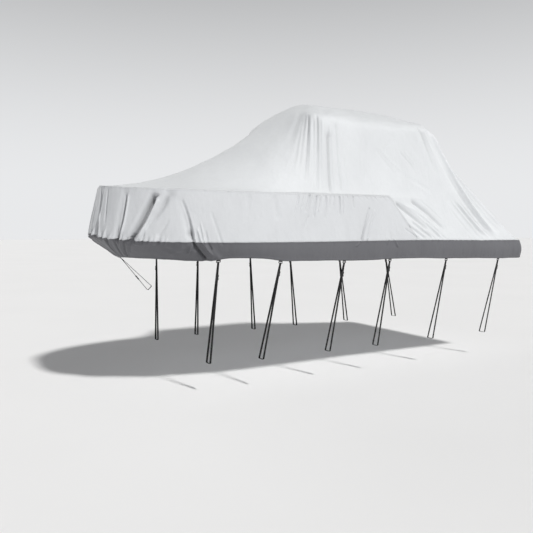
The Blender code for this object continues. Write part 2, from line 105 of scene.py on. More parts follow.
# How the section changes along the half outline, bow to stern. gunwale, rail and roof are
# distances along those edges, and spine is the place on the ridge. Between the rail and the roof
# the height rises as share ** bend and the cloth hangs in by hollow. tent is 1 where the rail ends.
SECTIONS = Table(
    "edge  gunwale  rail  roof  spine  bend  hollow  tent",
    (0.00, 0.00, 0.00, 0.00, -0.76, 1.85, 0.00, 0),
    (0.20, 1.55, 1.55, 0.45, -0.70, 1.66, 0.00, 0),
    (0.40, 3.05, 3.05, 0.90, -0.62, 1.05, 0.03, 0),
    (0.56, 4.71, 4.28, 2.00, +0.08, 1.00, 0.03, 0),
    (0.64, 5.35, 5.10, 2.50, +0.42, 1.00, 0.04, 1),
    (0.74, 6.10, 5.95, 2.86, +0.68, 1.00, 0.06, 1),
    (0.86, 6.80, 6.65, 3.10, +0.78, 1.00, 0.11, 1),
    (1.00, 8.13, 8.13, 3.77, +0.86, 1.10, 0.08, 1),
)

# Heights above the ground and insets along the gunwale, by distance from the bow's middle
EDGES = Table(
    "along  gunwale  rail  hem  hem_inset  bulge",
    (0.0, 1.872, 2.45, 1.566, 0.360, 0.00),
    (0.3, 1.822, 2.43, 1.570, 0.330, 0.00),
    (0.8, 1.786, 2.40, 1.567, 0.240, 0.00),
    (1.6, 1.767, 2.37, 1.550, 0.110, 0.01),
    (2.4, 1.764, 2.36, 1.532, 0.045, 0.01),
    (4.7, 1.772, 2.36, 1.512, 0.030, 0.01),
    (6.6, 1.757, 2.30, 1.486, 0.000, 0.03),
    (8.2, 1.757, 2.30, 1.486, 0.000, 0.03),
)

# The ridge of the roof, from the middle of its front edge to the middle of its aft edge
ROOF_CROWN = Table(
    "x  height",
    (-0.99, 3.545),
    (-0.62, 3.710),
    (-0.10, 3.712),
    (+0.55, 3.700),
    (+1.05, 3.610),
)

# How far the hem's edge rises halfway between two straps
SCALLOPS = Table(
    "along  reach  rise",
    (0.65, 0.60, 0.012),
    (2.12, 0.37, 0.042),
    (2.98, 0.46, 0.010),
    (4.60, 0.55, 0.014),
    (5.70, 0.50, 0.008),
)

# The main folds. Each runs on the cloth from one edge and level to another, where edge is the
# share of the half outline from bow to stern, and level is 0 at the hem, 1 at the gunwale, 2 at
# the bow rail, 3 at the roof's edge and 4 on its ridge. depth is how far the fold's line moves in
# at each end, below 0 for a ridge, and side is -1 for port, 1 for starboard and 0 for both.
MAIN_FOLDS = Table(
    "side  edge  level  to_edge  to_level  width  depth  to_depth",
    # The bow, where the cloth is gathered round the curve
    (+0, 0.022, 1.00, 0.018, 1.95, 0.05, +0.020, +0.012),
    (-1, 0.069, 0.95, 0.076, 1.88, 0.05, +0.022, +0.010),
    (-1, 0.090, 0.92, 0.126, 1.84, 0.05, +0.034, +0.046),
    (-1, 0.120, 1.30, 0.152, 1.88, 0.06, +0.012, +0.020),
    (+1, 0.062, 0.95, 0.082, 1.86, 0.05, +0.026, +0.012),
    (+1, 0.112, 0.94, 0.140, 1.80, 0.06, +0.030, +0.018),
    # The pair at the first side strap, with a ridge between them
    (-1, 0.208, 0.10, 0.184, 1.16, 0.05, +0.020, +0.018),
    (-1, 0.184, 1.16, 0.170, 1.75, 0.05, +0.018, +0.006),
    (-1, 0.228, 0.15, 0.203, 1.00, 0.04, -0.014, -0.006),
    (+1, 0.196, 0.10, 0.178, 1.55, 0.05, +0.020, +0.008),
    # Under the hard top's front corner, where they fan out to the rail
    (-1, 0.376, 2.20, 0.371, 2.96, 0.06, +0.010, +0.020),
    (-1, 0.409, 2.05, 0.403, 2.95, 0.06, +0.014, +0.022),
    (-1, 0.436, 2.04, 0.433, 2.74, 0.07, +0.020, +0.034),
    (-1, 0.461, 2.05, 0.451, 2.90, 0.06, +0.012, +0.016),
    (+1, 0.396, 2.06, 0.390, 2.95, 0.06, +0.016, +0.024),
    (+1, 0.440, 2.04, 0.432, 2.85, 0.07, +0.022, +0.028),
    # Where the bow rail ends and the cloth drops to the gunwale
    (-1, 0.566, 1.80, 0.584, 1.25, 0.06, +0.024, +0.010),
    (-1, 0.592, 1.88, 0.632, 1.28, 0.06, +0.026, +0.012),
    (+1, 0.578, 1.85, 0.604, 1.25, 0.06, +0.026, +0.012),
    # Down the aft corner and the slope behind the hard top
    (-1, 0.684, 3.00, 0.679, 2.40, 0.08, +0.024, +0.010),
    (-1, 0.750, 2.85, 0.800, 1.15, 0.08, -0.026, -0.014),
    (-1, 0.688, 2.00, 0.728, 1.10, 0.08, +0.014, +0.020),
    (+1, 0.700, 2.95, 0.706, 1.60, 0.08, +0.022, +0.012),
    (+1, 0.750, 2.85, 0.804, 1.15, 0.08, -0.024, -0.014),
    (+0, 0.880, 2.80, 0.900, 1.20, 0.12, +0.020, +0.026),
)

# Finer creases, as above. kind is the profile's number in Profile, taper is the share of the line
# over which each end fades, and bow is how far aft its middle is pushed, as a share of the outline.
FINE_FOLDS = Table(
    "side  edge  level  to_edge  to_level  width  depth  to_depth  kind  taper  bow",
    # The bow: upright pleats, the long dark fold and its neighbours
    (-1, 0.03, 0.98, 0.01, 1.99, 0.016, 0.0204, 0.0136, 1, 0.05),
    (-1, 0.02, 0.75, 0.022, 1.99, 0.014, 0.017, 0.0136, 1, 0.05, 0.002),
    (-1, 0.043, 1.25, 0.036, 1.98, 0.016, 0.0068, 0.0136, 0, 0.15),
    (-1, 0.006, 1, 0.001, 1.6, 0.014, 0.017, 0.0034, 1, 0.2),
    (1, 0.03, 0.98, 0.014, 1.95, 0.018, 0.0204, 0.0068, 1, 0.05),
    (1, 0.048, 0.96, 0.044, 1.7, 0.016, 0.0204, 0.0068, 1, 0.05),
    (-1, 0.069, 0.92, 0.078, 1.9, 0.02, 0.0306, 0.017, 1, 0.12, 0.003),
    (-1, 0.091, 0.95, 0.127, 1.84, 0.028, 0.03, 0.036, 1, 0.07, 0.003),
    (-1, 0.124, 1.82, 0.138, 1.9, 0.018, 0.022, 0.006, 1, 0.4),
    (-1, 0.104, 0.98, 0.128, 1.5, 0.02, -0.008, -0.004, 2, 0.2),
    (-1, 0.122, 1.3, 0.15, 1.9, 0.03, 0.006, 0.012, 0, 0.25, 0.004),
    (-1, 0.132, 1.05, 0.152, 1.45, 0.024, 0.008, 0.003, 0, 0.25, 0.003),
    (1, 0.066, 0.92, 0.08, 1.88, 0.022, 0.0306, 0.0136, 1, 0.12, 0.003),
    (1, 0.112, 0.92, 0.138, 1.82, 0.024, 0.026, 0.014, 1, 0.12, 0.004),
    # The pair at the first side strap, and the pleats where it meets the band
    (-1, 0.187, 1.02, 0.17, 1.8, 0.015, 0.018, 0.003, 1, 0.05, 0.003),
    (-1, 0.208, 0.06, 0.187, 1.02, 0.018, 0.016, 0.022, 1, 0.06, -0.002),
    (-1, 0.196, 0.35, 0.19, 1.25, 0.014, -0.01, -0.007, 2, 0.15),
    (-1, 0.222, 0.2, 0.194, 1.28, 0.015, -0.016, -0.012, 2, 0.1, -0.001),
    (-1, 0.213, 0.45, 0.199, 1.4, 0.013, -0.012, -0.009, 2, 0.12),
    (-1, 0.217, 0.55, 0.206, 1.25, 0.012, 0.01, 0.008, 0, 0.15),
    (-1, 0.18, 0.35, 0.188, 1, 0.013, -0.012, -0.01, 2, 0.12),
    (-1, 0.236, 0.8, 0.214, 1.65, 0.02, 0.006, 0.002, 0, 0.2),
    (1, 0.197, 0.08, 0.176, 1.6, 0.018, 0.018, 0.006, 1, 0.08),
    (1, 0.208, 0.2, 0.19, 1.2, 0.012, -0.01, -0.006, 2, 0.15),
    # The long side: short slanting folds under the rail, and one up from the band
    (-1, 0.392, 1.99, 0.38, 1.6, 0.02, 0.0136, 0.0057, 0, 0.12),
    (-1, 0.405, 1.99, 0.393, 1.5, 0.014, 0.0153, 0.0076, 1, 0.12),
    (-1, 0.415, 1.99, 0.404, 1.62, 0.012, -0.0119, -0.0076, 2, 0.12),
    (-1, 0.425, 1.99, 0.414, 1.45, 0.016, 0.0119, 0.0057, 0, 0.12),
    (-1, 0.452, 1.99, 0.441, 1.55, 0.014, 0.0136, 0.0057, 1, 0.12),
    (-1, 0.462, 1.99, 0.45, 1.6, 0.012, -0.0102, -0.0057, 2, 0.12),
    (-1, 0.482, 1.99, 0.472, 1.7, 0.014, 0.0102, 0.0038, 0, 0.12),
    (-1, 0.464, 0.98, 0.506, 1.75, 0.02, 0.0238, 0.0095, 0, 0.06, -0.003),
    (-1, 0.473, 1, 0.513, 1.7, 0.014, -0.017, -0.0095, 2, 0.08, -0.003),
    (-1, 0.456, 0.7, 0.466, 1.06, 0.014, -0.01, -0.012, 2, 0.15),
    (-1, 0.504, 0.78, 0.509, 1.08, 0.013, -0.008, -0.007, 2, 0.2),
    (-1, 0.522, 0.6, 0.515, 1.08, 0.014, -0.011, -0.01, 2, 0.15),
    (-1, 0.28, 1.99, 0.272, 1.35, 0.04, 0.006, 0.002, 0, 0.2),
    (-1, 0.33, 1.4, 0.322, 1.99, 0.05, 0.004, 0.006, 0, 0.2),
    (1, 0.3, 1.99, 0.29, 1.4, 0.04, 0.008, 0.003, 0, 0.2),
    (1, 0.4, 1.99, 0.386, 1.5, 0.018, 0.0153, 0.0057, 1, 0.12),
    (1, 0.436, 1.99, 0.424, 1.55, 0.016, 0.0153, 0.0057, 1, 0.12),
    (1, 0.47, 0.98, 0.498, 1.7, 0.02, 0.0221, 0.0076, 0, 0.08),
    (-1, 0.371, 1.98, 0.357, 1.45, 0.014, 0.009, 0.005, 0, 0.15),
    (-1, 0.381, 1.99, 0.369, 1.58, 0.011, -0.008, -0.004, 2, 0.15),
    (-1, 0.398, 1.98, 0.387, 1.66, 0.011, -0.009, -0.005, 2, 0.15),
    (-1, 0.41, 1.98, 0.402, 1.74, 0.01, 0.01, 0.005, 0, 0.15),
    (-1, 0.434, 1.98, 0.425, 1.66, 0.011, 0.008, 0.004, 0, 0.15),
    (-1, 0.443, 1.98, 0.435, 1.76, 0.01, -0.008, -0.004, 2, 0.15),
    (-1, 0.386, 1.56, 0.376, 1.28, 0.014, 0.006, 0.003, 0, 0.25),
    # Under the hard top's front corner
    (-1, 0.34, 2.3, 0.338, 3.05, 0.03, 0.0017, 0.005, 0, 0.25),
    (-1, 0.357, 2.25, 0.352, 3.05, 0.024, 0.0022, 0.0055, 0, 0.2),
    (-1, 0.376, 2.12, 0.371, 3.02, 0.016, 0.0044, 0.0055, 0, 0.15),
    (-1, 0.386, 2.1, 0.383, 3.04, 0.018, -0.0028, -0.0039, 2, 0.15),
    (-1, 0.396, 2.03, 0.393, 3, 0.018, 0.0033, 0.005, 0, 0.15),
    (-1, 0.408, 2.01, 0.403, 3.03, 0.014, 0.0055, 0.0066, 1, 0.06),
    (-1, 0.42, 2.02, 0.417, 3, 0.016, -0.0033, -0.0044, 2, 0.12),
    (-1, 0.436, 2, 0.432, 2.9, 0.015, 0.0088, 0.0077, 1, 0.08),
    (-1, 0.446, 2.02, 0.441, 2.95, 0.016, -0.0044, -0.0044, 2, 0.12),
    (-1, 0.46, 2.01, 0.45, 3, 0.014, 0.0055, 0.0044, 1, 0.08),
    (-1, 0.472, 2.04, 0.464, 2.95, 0.024, 0.0028, 0.0022, 0, 0.2),
    (1, 0.356, 2.3, 0.352, 3.02, 0.03, 0.0017, 0.0044, 0, 0.25),
    (1, 0.378, 2.12, 0.374, 3, 0.022, 0.0033, 0.0055, 0, 0.2),
    (1, 0.396, 2.02, 0.391, 3, 0.016, 0.0055, 0.0066, 1, 0.08),
    (1, 0.418, 2.02, 0.412, 2.98, 0.018, -0.0033, -0.0044, 2, 0.12),
    (1, 0.44, 2.01, 0.432, 2.95, 0.016, 0.0077, 0.0066, 1, 0.08),
    (1, 0.46, 2.04, 0.452, 2.95, 0.02, 0.0039, 0.0033, 0, 0.15),
    # Over the roof: slack cloth across its front and along its edges
    (-1, 0.3, 2.55, 0.3, 3.25, 0.06, 0.004, 0.008, 0, 0.3),
    (-1, 0.47, 3.05, 0.54, 3.1, 0.03, 0.01, 0.006, 0, 0.25),
    (-1, 0.56, 3.06, 0.62, 3.02, 0.028, 0.008, 0.005, 0, 0.25),
    (-1, 0.42, 3.1, 0.47, 3.45, 0.05, 0.006, 0.004, 0, 0.35),
    (-1, 0.64, 3.08, 0.6, 3.5, 0.05, 0.006, 0.004, 0, 0.35),
    (1, 0.42, 3.08, 0.48, 3.4, 0.05, 0.007, 0.004, 0, 0.35),
    (1, 0.62, 3.06, 0.56, 3.4, 0.05, 0.007, 0.004, 0, 0.35),
    # The slack side below the roof, where small creases run down and aft
    (-1, 0.545, 2.7, 0.592, 2.35, 0.014, -0.007, -0.005, 2, 0.2),
    (-1, 0.537, 2.66, 0.58, 2.32, 0.016, 0.006, 0.004, 0, 0.2),
    (-1, 0.59, 2.65, 0.612, 2.42, 0.012, 0.007, 0.006, 1, 0.2),
    (-1, 0.6, 2.68, 0.62, 2.46, 0.012, -0.006, -0.004, 2, 0.2),
    (-1, 0.575, 2.8, 0.56, 2.6, 0.02, 0.005, 0.003, 0, 0.3),
    (-1, 0.59, 2.3, 0.64, 2.1, 0.016, 0.005, 0.004, 0, 0.3),
    (-1, 0.6, 2.2, 0.64, 2.02, 0.014, -0.004, -0.004, 2, 0.3),
    (-1, 0.52, 2.9, 0.512, 2.1, 0.07, 0.008, 0.005, 0, 0.25),
    (1, 0.56, 2.7, 0.6, 2.35, 0.018, 0.007, 0.005, 0, 0.2),
    (1, 0.52, 2.9, 0.516, 2.1, 0.06, 0.008, 0.005, 0, 0.25),
    # Where the bow rail ends: sharp slanting folds down to the band
    (-1, 0.562, 1.9, 0.592, 1.2, 0.022, 0.012, 0.01, 0, 0.12),
    (-1, 0.572, 1.9, 0.6, 1.3, 0.017, -0.01, -0.006, 2, 0.15),
    (-1, 0.588, 1.95, 0.634, 1.25, 0.022, 0.011, 0.009, 0, 0.12),
    (-1, 0.578, 1.84, 0.617, 1.22, 0.022, -0.01, -0.008, 2, 0.12),
    (-1, 0.6, 1.99, 0.64, 1.45, 0.014, 0.006, 0.004, 0, 0.2),
    (-1, 0.568, 1.45, 0.59, 1.02, 0.017, 0.01, 0.012, 1, 0.15),
    (-1, 0.556, 1.35, 0.576, 1.01, 0.017, 0.008, 0.01, 1, 0.15),
    (-1, 0.546, 1.28, 0.564, 1.01, 0.012, 0.007, 0.009, 0, 0.15),
    (-1, 0.58, 1.42, 0.602, 1.02, 0.011, -0.008, -0.009, 2, 0.15),
    (-1, 0.592, 1.4, 0.612, 1.02, 0.017, 0.008, 0.01, 1, 0.15),
    (-1, 0.602, 1.32, 0.62, 1.02, 0.012, -0.006, -0.008, 2, 0.15),
    (-1, 0.61, 1.26, 0.628, 1.02, 0.012, 0.006, 0.008, 0, 0.15),
    (1, 0.576, 1.9, 0.606, 1.25, 0.016, 0.018, 0.008, 1, 0.12),
    (1, 0.59, 1.88, 0.62, 1.3, 0.014, -0.01, -0.006, 2, 0.15),
    (1, 0.57, 1.4, 0.59, 1.02, 0.012, 0.008, 0.01, 1, 0.15),
    (1, 0.586, 1.38, 0.606, 1.02, 0.012, 0.008, 0.01, 1, 0.15),
    # The aft corner: long pulls from the roof's corner to the stern's, and the slope behind
    (-1, 0.682, 3.03, 0.676, 2.45, 0.026, 0.006, 0.003, 0, 0.15, 0.002),
    (-1, 0.7, 3.02, 0.702, 2.6, 0.026, -0.004, -0.003, 2, 0.15),
    (-1, 0.714, 3, 0.718, 2.7, 0.026, 0.004, 0.002, 0, 0.2),
    (-1, 0.744, 2.98, 0.792, 1.12, 0.05, -0.022, -0.014, 2, 0.1, 0.004),
    (-1, 0.722, 2.6, 0.77, 1.12, 0.026, 0.004, 0.006, 0, 0.2, 0.003),
    (-1, 0.78, 2.85, 0.83, 1.12, 0.036, 0.008, 0.008, 0, 0.15, 0.006),
    (-1, 0.69, 2.05, 0.732, 1.06, 0.02, -0.006, -0.008, 2, 0.2, 0.002),
    (-1, 0.702, 2, 0.744, 1.05, 0.02, 0.007, 0.01, 0, 0.2, 0.002),
    (-1, 0.712, 2, 0.756, 1.05, 0.02, -0.006, -0.008, 2, 0.2, 0.002),
    (-1, 0.722, 1.95, 0.766, 1.05, 0.018, 0.006, 0.009, 0, 0.2, 0.002),
    (-1, 0.674, 1.8, 0.704, 1.06, 0.022, 0.005, 0.007, 0, 0.25),
    (-1, 0.84, 2.9, 0.85, 1.15, 0.06, 0.012, 0.014, 0, 0.2),
    (-1, 0.93, 2.8, 0.945, 1.15, 0.07, 0.012, 0.016, 0, 0.2),
    (1, 0.7, 3, 0.702, 2.2, 0.024, 0.012, 0.004, 1, 0.12, 0.002),
    (1, 0.724, 2.95, 0.756, 1.12, 0.03, 0.008, 0.008, 0, 0.15, 0.003),
    (1, 0.742, 2.96, 0.792, 1.12, 0.026, -0.012, -0.008, 2, 0.1, 0.004),
    (1, 0.768, 2.85, 0.82, 1.12, 0.032, 0.014, 0.01, 0, 0.15, 0.006),
    (1, 0.836, 2.85, 0.856, 1.15, 0.06, 0.01, 0.014, 0, 0.2),
    (1, 0.95, 2.8, 0.955, 1.15, 0.07, 0.01, 0.014, 0, 0.2),
    # The band's own gathers under the bow
    (-1, 0.048, 0.98, 0.012, 0.05, 0.022, 0.016, 0.01, 1, 0.06),
    (-1, 0.066, 0.98, 0.04, 0.05, 0.018, 0.012, 0.008, 1, 0.06),
    (-1, 0.074, 0.9, 0.052, 0.1, 0.014, -0.007, -0.004, 2, 0.1),
    (-1, 0.084, 0.98, 0.058, 0.05, 0.018, 0.014, 0.008, 1, 0.06),
    (-1, 0.096, 0.96, 0.078, 0.3, 0.02, 0.012, 0.004, 0, 0.12),
    (-1, 0.15, 0.3, 0.18, 0.75, 0.04, -0.006, -0.006, 2, 0.3),
    (-1, 0.14, 0.7, 0.17, 0.3, 0.04, 0.006, 0.005, 0, 0.3),
    (1, 0.046, 0.98, 0.014, 0.05, 0.022, 0.014, 0.01, 1, 0.06),
    (1, 0.07, 0.98, 0.046, 0.05, 0.018, 0.012, 0.008, 1, 0.06),
    (1, 0.1, 0.96, 0.082, 0.25, 0.02, 0.012, 0.004, 0, 0.12),
)

# Rows of small puckers along the seams, where the cloth is eased in. count lie between two edges
# round one level, above and below are how far they reach in levels, and lean is how far aft they
# run as they rise.
PUCKERS = Table(
    "side  edge  to_edge  level  above  below  count  width  depth  lean",
    (-1, 0.004, 0.150, 1.0, 0.26, 0.28, 26, 0.017, 0.0150, +0.005),
    (-1, 0.160, 0.380, 1.0, 0.09, 0.16, 22, 0.012, 0.0030, +0.000),
    (-1, 0.380, 0.560, 1.0, 0.08, 0.16, 18, 0.011, 0.0035, +0.002),
    (-1, 0.560, 0.760, 1.0, 0.14, 0.14, 26, 0.012, 0.0050, +0.010),
    (-1, 0.760, 1.000, 1.0, 0.10, 0.14, 18, 0.014, 0.0040, +0.003),
    (+1, 0.004, 0.185, 1.0, 0.16, 0.22, 44, 0.010, 0.0070, +0.004),
    (+1, 0.185, 0.560, 1.0, 0.08, 0.16, 38, 0.012, 0.0034, +0.001),
    (+1, 0.560, 1.000, 1.0, 0.12, 0.14, 40, 0.013, 0.0044, +0.006),
    (-1, 0.010, 0.380, 2.0, 0.06, 0.10, 34, 0.012, 0.0026, +0.001),
    (-1, 0.380, 0.560, 2.0, 0.10, 0.20, 24, 0.011, 0.0040, -0.004),
    (+1, 0.010, 0.560, 2.0, 0.08, 0.14, 60, 0.012, 0.0030, -0.001),
    (-1, 0.010, 0.990, 0.08, 0.16, 0.08, 90, 0.012, 0.0020, +0.001),
    (+1, 0.010, 0.990, 0.08, 0.16, 0.08, 90, 0.012, 0.0020, +0.001),
)

# Where each strap leaves the hem, by x, and where it passes under the trailer's rail
STRAPS = Table(
    "number  x  foot_x  foot_y  buckle",
    (1, -2.410, -2.455, 0.83, 0.17),
    (2, -1.675, -1.800, 0.93, 0.12),
    (3, -0.745, -0.820, 0.94, 0.14),
    (4, +0.015, -0.035, 0.95, 0.10),
    (5, +1.050, +1.000, 0.94, 0.09),
    (6, +2.125, +2.090, 0.94, 0.10),
)

# The buckle's width and thickness, as shares of its greatest, from its female end to its clip
BUCKLE = Table(
    "place  width  thickness",
    (-0.500, 0.84, 0.62),
    (-0.440, 0.90, 0.92),
    (-0.250, 0.98, 1.00),
    (-0.120, 0.86, 1.00),
    (+0.000, 0.74, 0.96),
    (+0.140, 0.90, 1.00),
    (+0.250, 0.98, 1.00),
    (+0.440, 0.94, 0.86),
    (+0.500, 0.88, 0.60),
)


def unit(vector: np.ndarray) -> np.ndarray:
    """The vector at a length of one."""
    return np.asarray(vector, float) / np.linalg.norm(vector)


def norm(vectors: np.ndarray) -> np.ndarray:
    """The vectors, each at a length of one."""
    return vectors / np.linalg.norm(vectors, axis=-1, keepdims=True)


def ruler_of(points: np.ndarray) -> np.ndarray:
    """How far along a line each of its points lies."""
    return np.insert(np.cumsum(np.linalg.norm(np.diff(points, axis=0), axis=1)), 0, 0.0)


def walk(distance: np.ndarray, ruler: np.ndarray, points: np.ndarray) -> np.ndarray:
    """The places this far along a line."""
    return np.stack([np.interp(distance, ruler, points[:, k]) for k in range(points.shape[1])], -1)


def raised(plan: np.ndarray, height: np.ndarray) -> np.ndarray:
    """Places in the plan, at their heights."""
    return np.concatenate([plan, height[..., None]], -1)


def mix(a: np.ndarray, b: np.ndarray, share: np.ndarray) -> np.ndarray:
    """Points between a and b, by share."""
    return a + (b - a) * np.asarray(share)[..., None]


def fade(x: np.ndarray) -> np.ndarray:
    """A smooth rise from 0 at 0 to 1 at 1."""
    x = np.clip(x, 0, 1)
    return x * x * (3 - 2 * x)


@dataclass(frozen=True)
class CoverForm:
    """The shape that the boat gives the cloth, by edge, from bow to stern, and by level."""

    ground: float = -3.7014
    half_beam: float = 1.29
    stern_half_beam: float = 1.265
    bow_x: float = -3.61
    stern_x: float = 2.67
    bow_length: float = 2.5
    bow_fullness: float = 2.45
    stern_corner: float = 0.10
    rail_inset: float = 0.115
    roof_front_x: float = -0.99
    roof_aft_x: float = 1.05
    roof_half_width: float = 0.95
    roof_corner: float = 0.20
    roof_edge_height: float = 3.40
    roof_edge_sag: float = 0.045
    roof_fullness: float = 1.9
    roof_rounding: float = 0.09
    rail_share: float = 0.36
    side_end: float = 0.56

    # The points of each curve, and the places that a rounded point is the mean of
    ARC_POINTS = 16
    BOW_POINTS = 240
    ROUNDING_TAPS = 7

    @staticmethod
    def arc(centre: tuple[float, float], radius: float, start: float, end: float) -> np.ndarray:
        """Points on an arc in the plan.

        Args:
            centre: The arc's centre.
            radius: Its radius.
            start: The angle where it starts, in degrees.
            end: The angle where it ends.

        Returns:
            Its points.
        """
        turn = np.radians(np.linspace(start, end, CoverForm.ARC_POINTS))
        return np.stack([centre[0] + radius * np.cos(turn), centre[1] + radius * np.sin(turn)], -1)

    @property
    def gunwale(self) -> np.ndarray:
        """Half of the gunwale's plan, port side, from the bow's middle to the stern's.

        Returns:
            Its points.
        """
        turn = np.linspace(0, np.pi / 2, self.BOW_POINTS)
        x = self.bow_x + self.bow_length * (1 - np.cos(turn) ** (2 / self.bow_fullness))
        bow = np.stack([x, -self.half_beam * np.sin(turn)], -1)
        centre = (self.stern_x - self.stern_corner, self.stern_corner - self.stern_half_beam)
        corner = self.arc(centre, self.stern_corner, -90, 0)
        return np.concatenate([bow, corner, [[self.stern_x, 0.0]]])

    @property
    def roof(self) -> np.ndarray:
        """Half of the hard top's plan, port side, from its front edge's middle to its aft edge's.

        Returns:
            Its points.
        """
        fore, aft = self.roof_front_x + self.roof_corner, self.roof_aft_x - self.roof_corner
        side = self.roof_corner - self.roof_half_width
        return np.concatenate(
            [
                [[self.roof_front_x, 0.0]],
                self.arc((fore, side), self.roof_corner, -180, -90),
                self.arc((aft, side), self.roof_corner, -90, 0),
                [[self.roof_aft_x, 0.0]],
            ]
        )

    @staticmethod
    def along(outline: np.ndarray, distance: np.ndarray) -> tuple[np.ndarray, np.ndarray]:
        """Walks along an outline.

        Args:
            outline: The outline's points.
            distance: How far along it to look.

        Returns:
            The places there, and the outward directions.
        """
        ruler, reach = ruler_of(outline), 0.04
        distance = np.clip(distance, 0, ruler[-1])
        after, before = np.minimum(distance + reach, ruler[-1]), np.maximum(distance - reach, 0)
        ahead = walk(after, ruler, outline) - walk(before, ruler, outline)
        # At either end the outline meets its mirror image, so it runs straight across there
        ahead[distance < reach, 0] *= distance[distance < reach] / reach
        ahead = norm(ahead)
        return walk(distance, ruler, outline), np.stack([ahead[..., 1], -ahead[..., 0]], -1)

    def roof_height(self, x: np.ndarray, y: np.ndarray) -> np.ndarray:
        """The roof's height above the ground: a long crown that falls to the hard top's edges.

        Args:
            x: Places along the boat.
            y: Places across it.

        Returns:
            The height at each place.
        """
        crown = ROOF_CROWN.curve("x", "height", x)
        share = (x - self.roof_front_x) / (self.roof_aft_x - self.roof_front_x)
        edge = self.roof_edge_height - self.roof_edge_sag * np.sin(np.pi * np.clip(share, 0, 1))
        across = np.clip(abs(y) / self.roof_half_width, 0, 1)
        return edge + (crown - edge) * (1 - across**self.roof_fullness)

    @staticmethod
    def slope(
        low: np.ndarray, high: np.ndarray, share: np.ndarray, bend: np.ndarray, inward: np.ndarray
    ) -> np.ndarray:
        """Cloth from one edge up to another.

        Args:
            low: Points on the lower edge.
            high: Points on the upper edge.
            share: How far up each point lies.
            bend: The height rises as share ** bend.
            inward: How far and which way the cloth hangs in.

        Returns:
            The points on the slope.
        """
        place = mix(low, high, share)
        place[..., 2] = low[..., 2] + (high[..., 2] - low[..., 2]) * share**bend
        # The curve's peak is 1, a third of the way up
        place[..., :2] += inward * (2.6 * np.sqrt(share) * (1 - share))[..., None]
        return place

    def stretched(self, edge: np.ndarray, level: np.ndarray) -> np.ndarray:
        """Points on the port side as the boat stretches the cloth, before it is rounded or folded.

        Args:
            edge: The points' edges.
            level: Their levels.

        Returns:
            The points, with heights above the ground.
        """
        run = SECTIONS.curve("edge", "gunwale", edge)
        plan, out = self.along(self.gunwale, run)
        gunwale = raised(plan, EDGES.curve("along", "gunwale", run))
        scallops = [(row["along"], row["reach"], row["rise"]) for row in SCALLOPS.rows]
        rise = sum(top * np.exp(-(((run - middle) / wide) ** 4)) for middle, wide, top in scallops)
        inset, bulge = (EDGES.curve("along", column, run) for column in ("hem_inset", "bulge"))
        hem = raised(plan - out * inset[..., None], EDGES.curve("along", "hem", run) + rise)

        rail_run = SECTIONS.curve("edge", "rail", edge)
        rail_plan, rail_out = self.along(self.gunwale, rail_run)
        rail_height = EDGES.curve("along", "rail", rail_run)
        rail = raised(rail_plan - self.rail_inset * rail_out, rail_height)

        roof_plan, roof_out = self.along(self.roof, SECTIONS.curve("edge", "roof", edge))
        roof = raised(roof_plan, self.roof_height(roof_plan[..., 0], roof_plan[..., 1]))
        columns = ("spine", "bend", "hollow", "tent")
        spine, bend, hollow, tent = (SECTIONS.curve("edge", column, edge) for column in columns)

        band, side, wall, dome = (np.clip(level - start, 0, 1) for start in range(4))
        inward = -roof_out * hollow[..., None]
        upper, lower = self.slope(rail, roof, wall, bend, inward), mix(gunwale, rail, side)
        railed = np.where((level > 2)[..., None], upper, lower)
        share = self.rail_share * side + (1 - self.rail_share) * wall
        cloth = mix(railed, self.slope(gunwale, roof, share, bend, inward), tent)

        over = mix(roof_plan, np.stack([spine, 0 * spine], -1), dome)
        top = raised(over, self.roof_height(over[..., 0], over[..., 1]))
        cloth = np.where((level > 3)[..., None], top, cloth)
        skirt = mix(hem, gunwale, band)
        skirt[..., :2] += out * (bulge * np.sin(np.pi * band))[..., None]
        return np.where((level < 1)[..., None], skirt, cloth)

    def rounded(self, edge: np.ndarray, level: np.ndarray) -> np.ndarray:
        """The stretched cloth, rounded where it turns over the hard top's edge.

        Args:
            edge: The points' edges.
            level: Their levels.

        Returns:
            The points, each the mean of several round it where it is near the edge.
        """
        edge, level = np.broadcast_arrays(np.asarray(edge, float), np.asarray(level, float))
        whole = [np.full_like(level, number) for number in (2.0, 3.0, 4.0)]
        rail, roof, ridge = (self.stretched(edge, each) for each in whole)
        below, above = (np.linalg.norm(roof - other, axis=-1) for other in (rail, ridge))
        reach = np.minimum(self.roof_rounding, 0.45 * above)
        height = (level - 3) * np.where(level > 3, above, below)
        total, taps = 0.0, np.linspace(-1, 1, self.ROUNDING_TAPS)
        for tap in taps:
            moved = height + tap * reach
            shifted = 3 + np.where(moved > 0, moved / above, moved / below)
            total = total + self.stretched(edge, np.where(abs(height) < reach, shifted, level))
        return total / len(taps)

    def facing(self, edge: np.ndarray, level: np.ndarray) -> np.ndarray:
        """The cloth's outward direction on the port side.

        Args:
            edge: The points' edges.
            level: Their levels.

        Returns:
            The direction at each point.
        """
        step = 0.002
        fore, aft = np.maximum(edge - step, 0), np.minimum(edge + step, 1)
        low, high = np.maximum(level - step, 0), np.minimum(level + step, 4)
        ahead = self.rounded(aft, level) - self.rounded(fore, level)
        # At either end the cloth meets its mirror image, so it runs straight across there
        ahead[edge == 0] = (0.0, -1.0, 0.0)
        ahead[edge > 1 - 2 * step] = (0.0, 1.0, 0.0)
        return norm(np.cross(ahead, self.rounded(edge, high) - self.rounded(edge, low)))


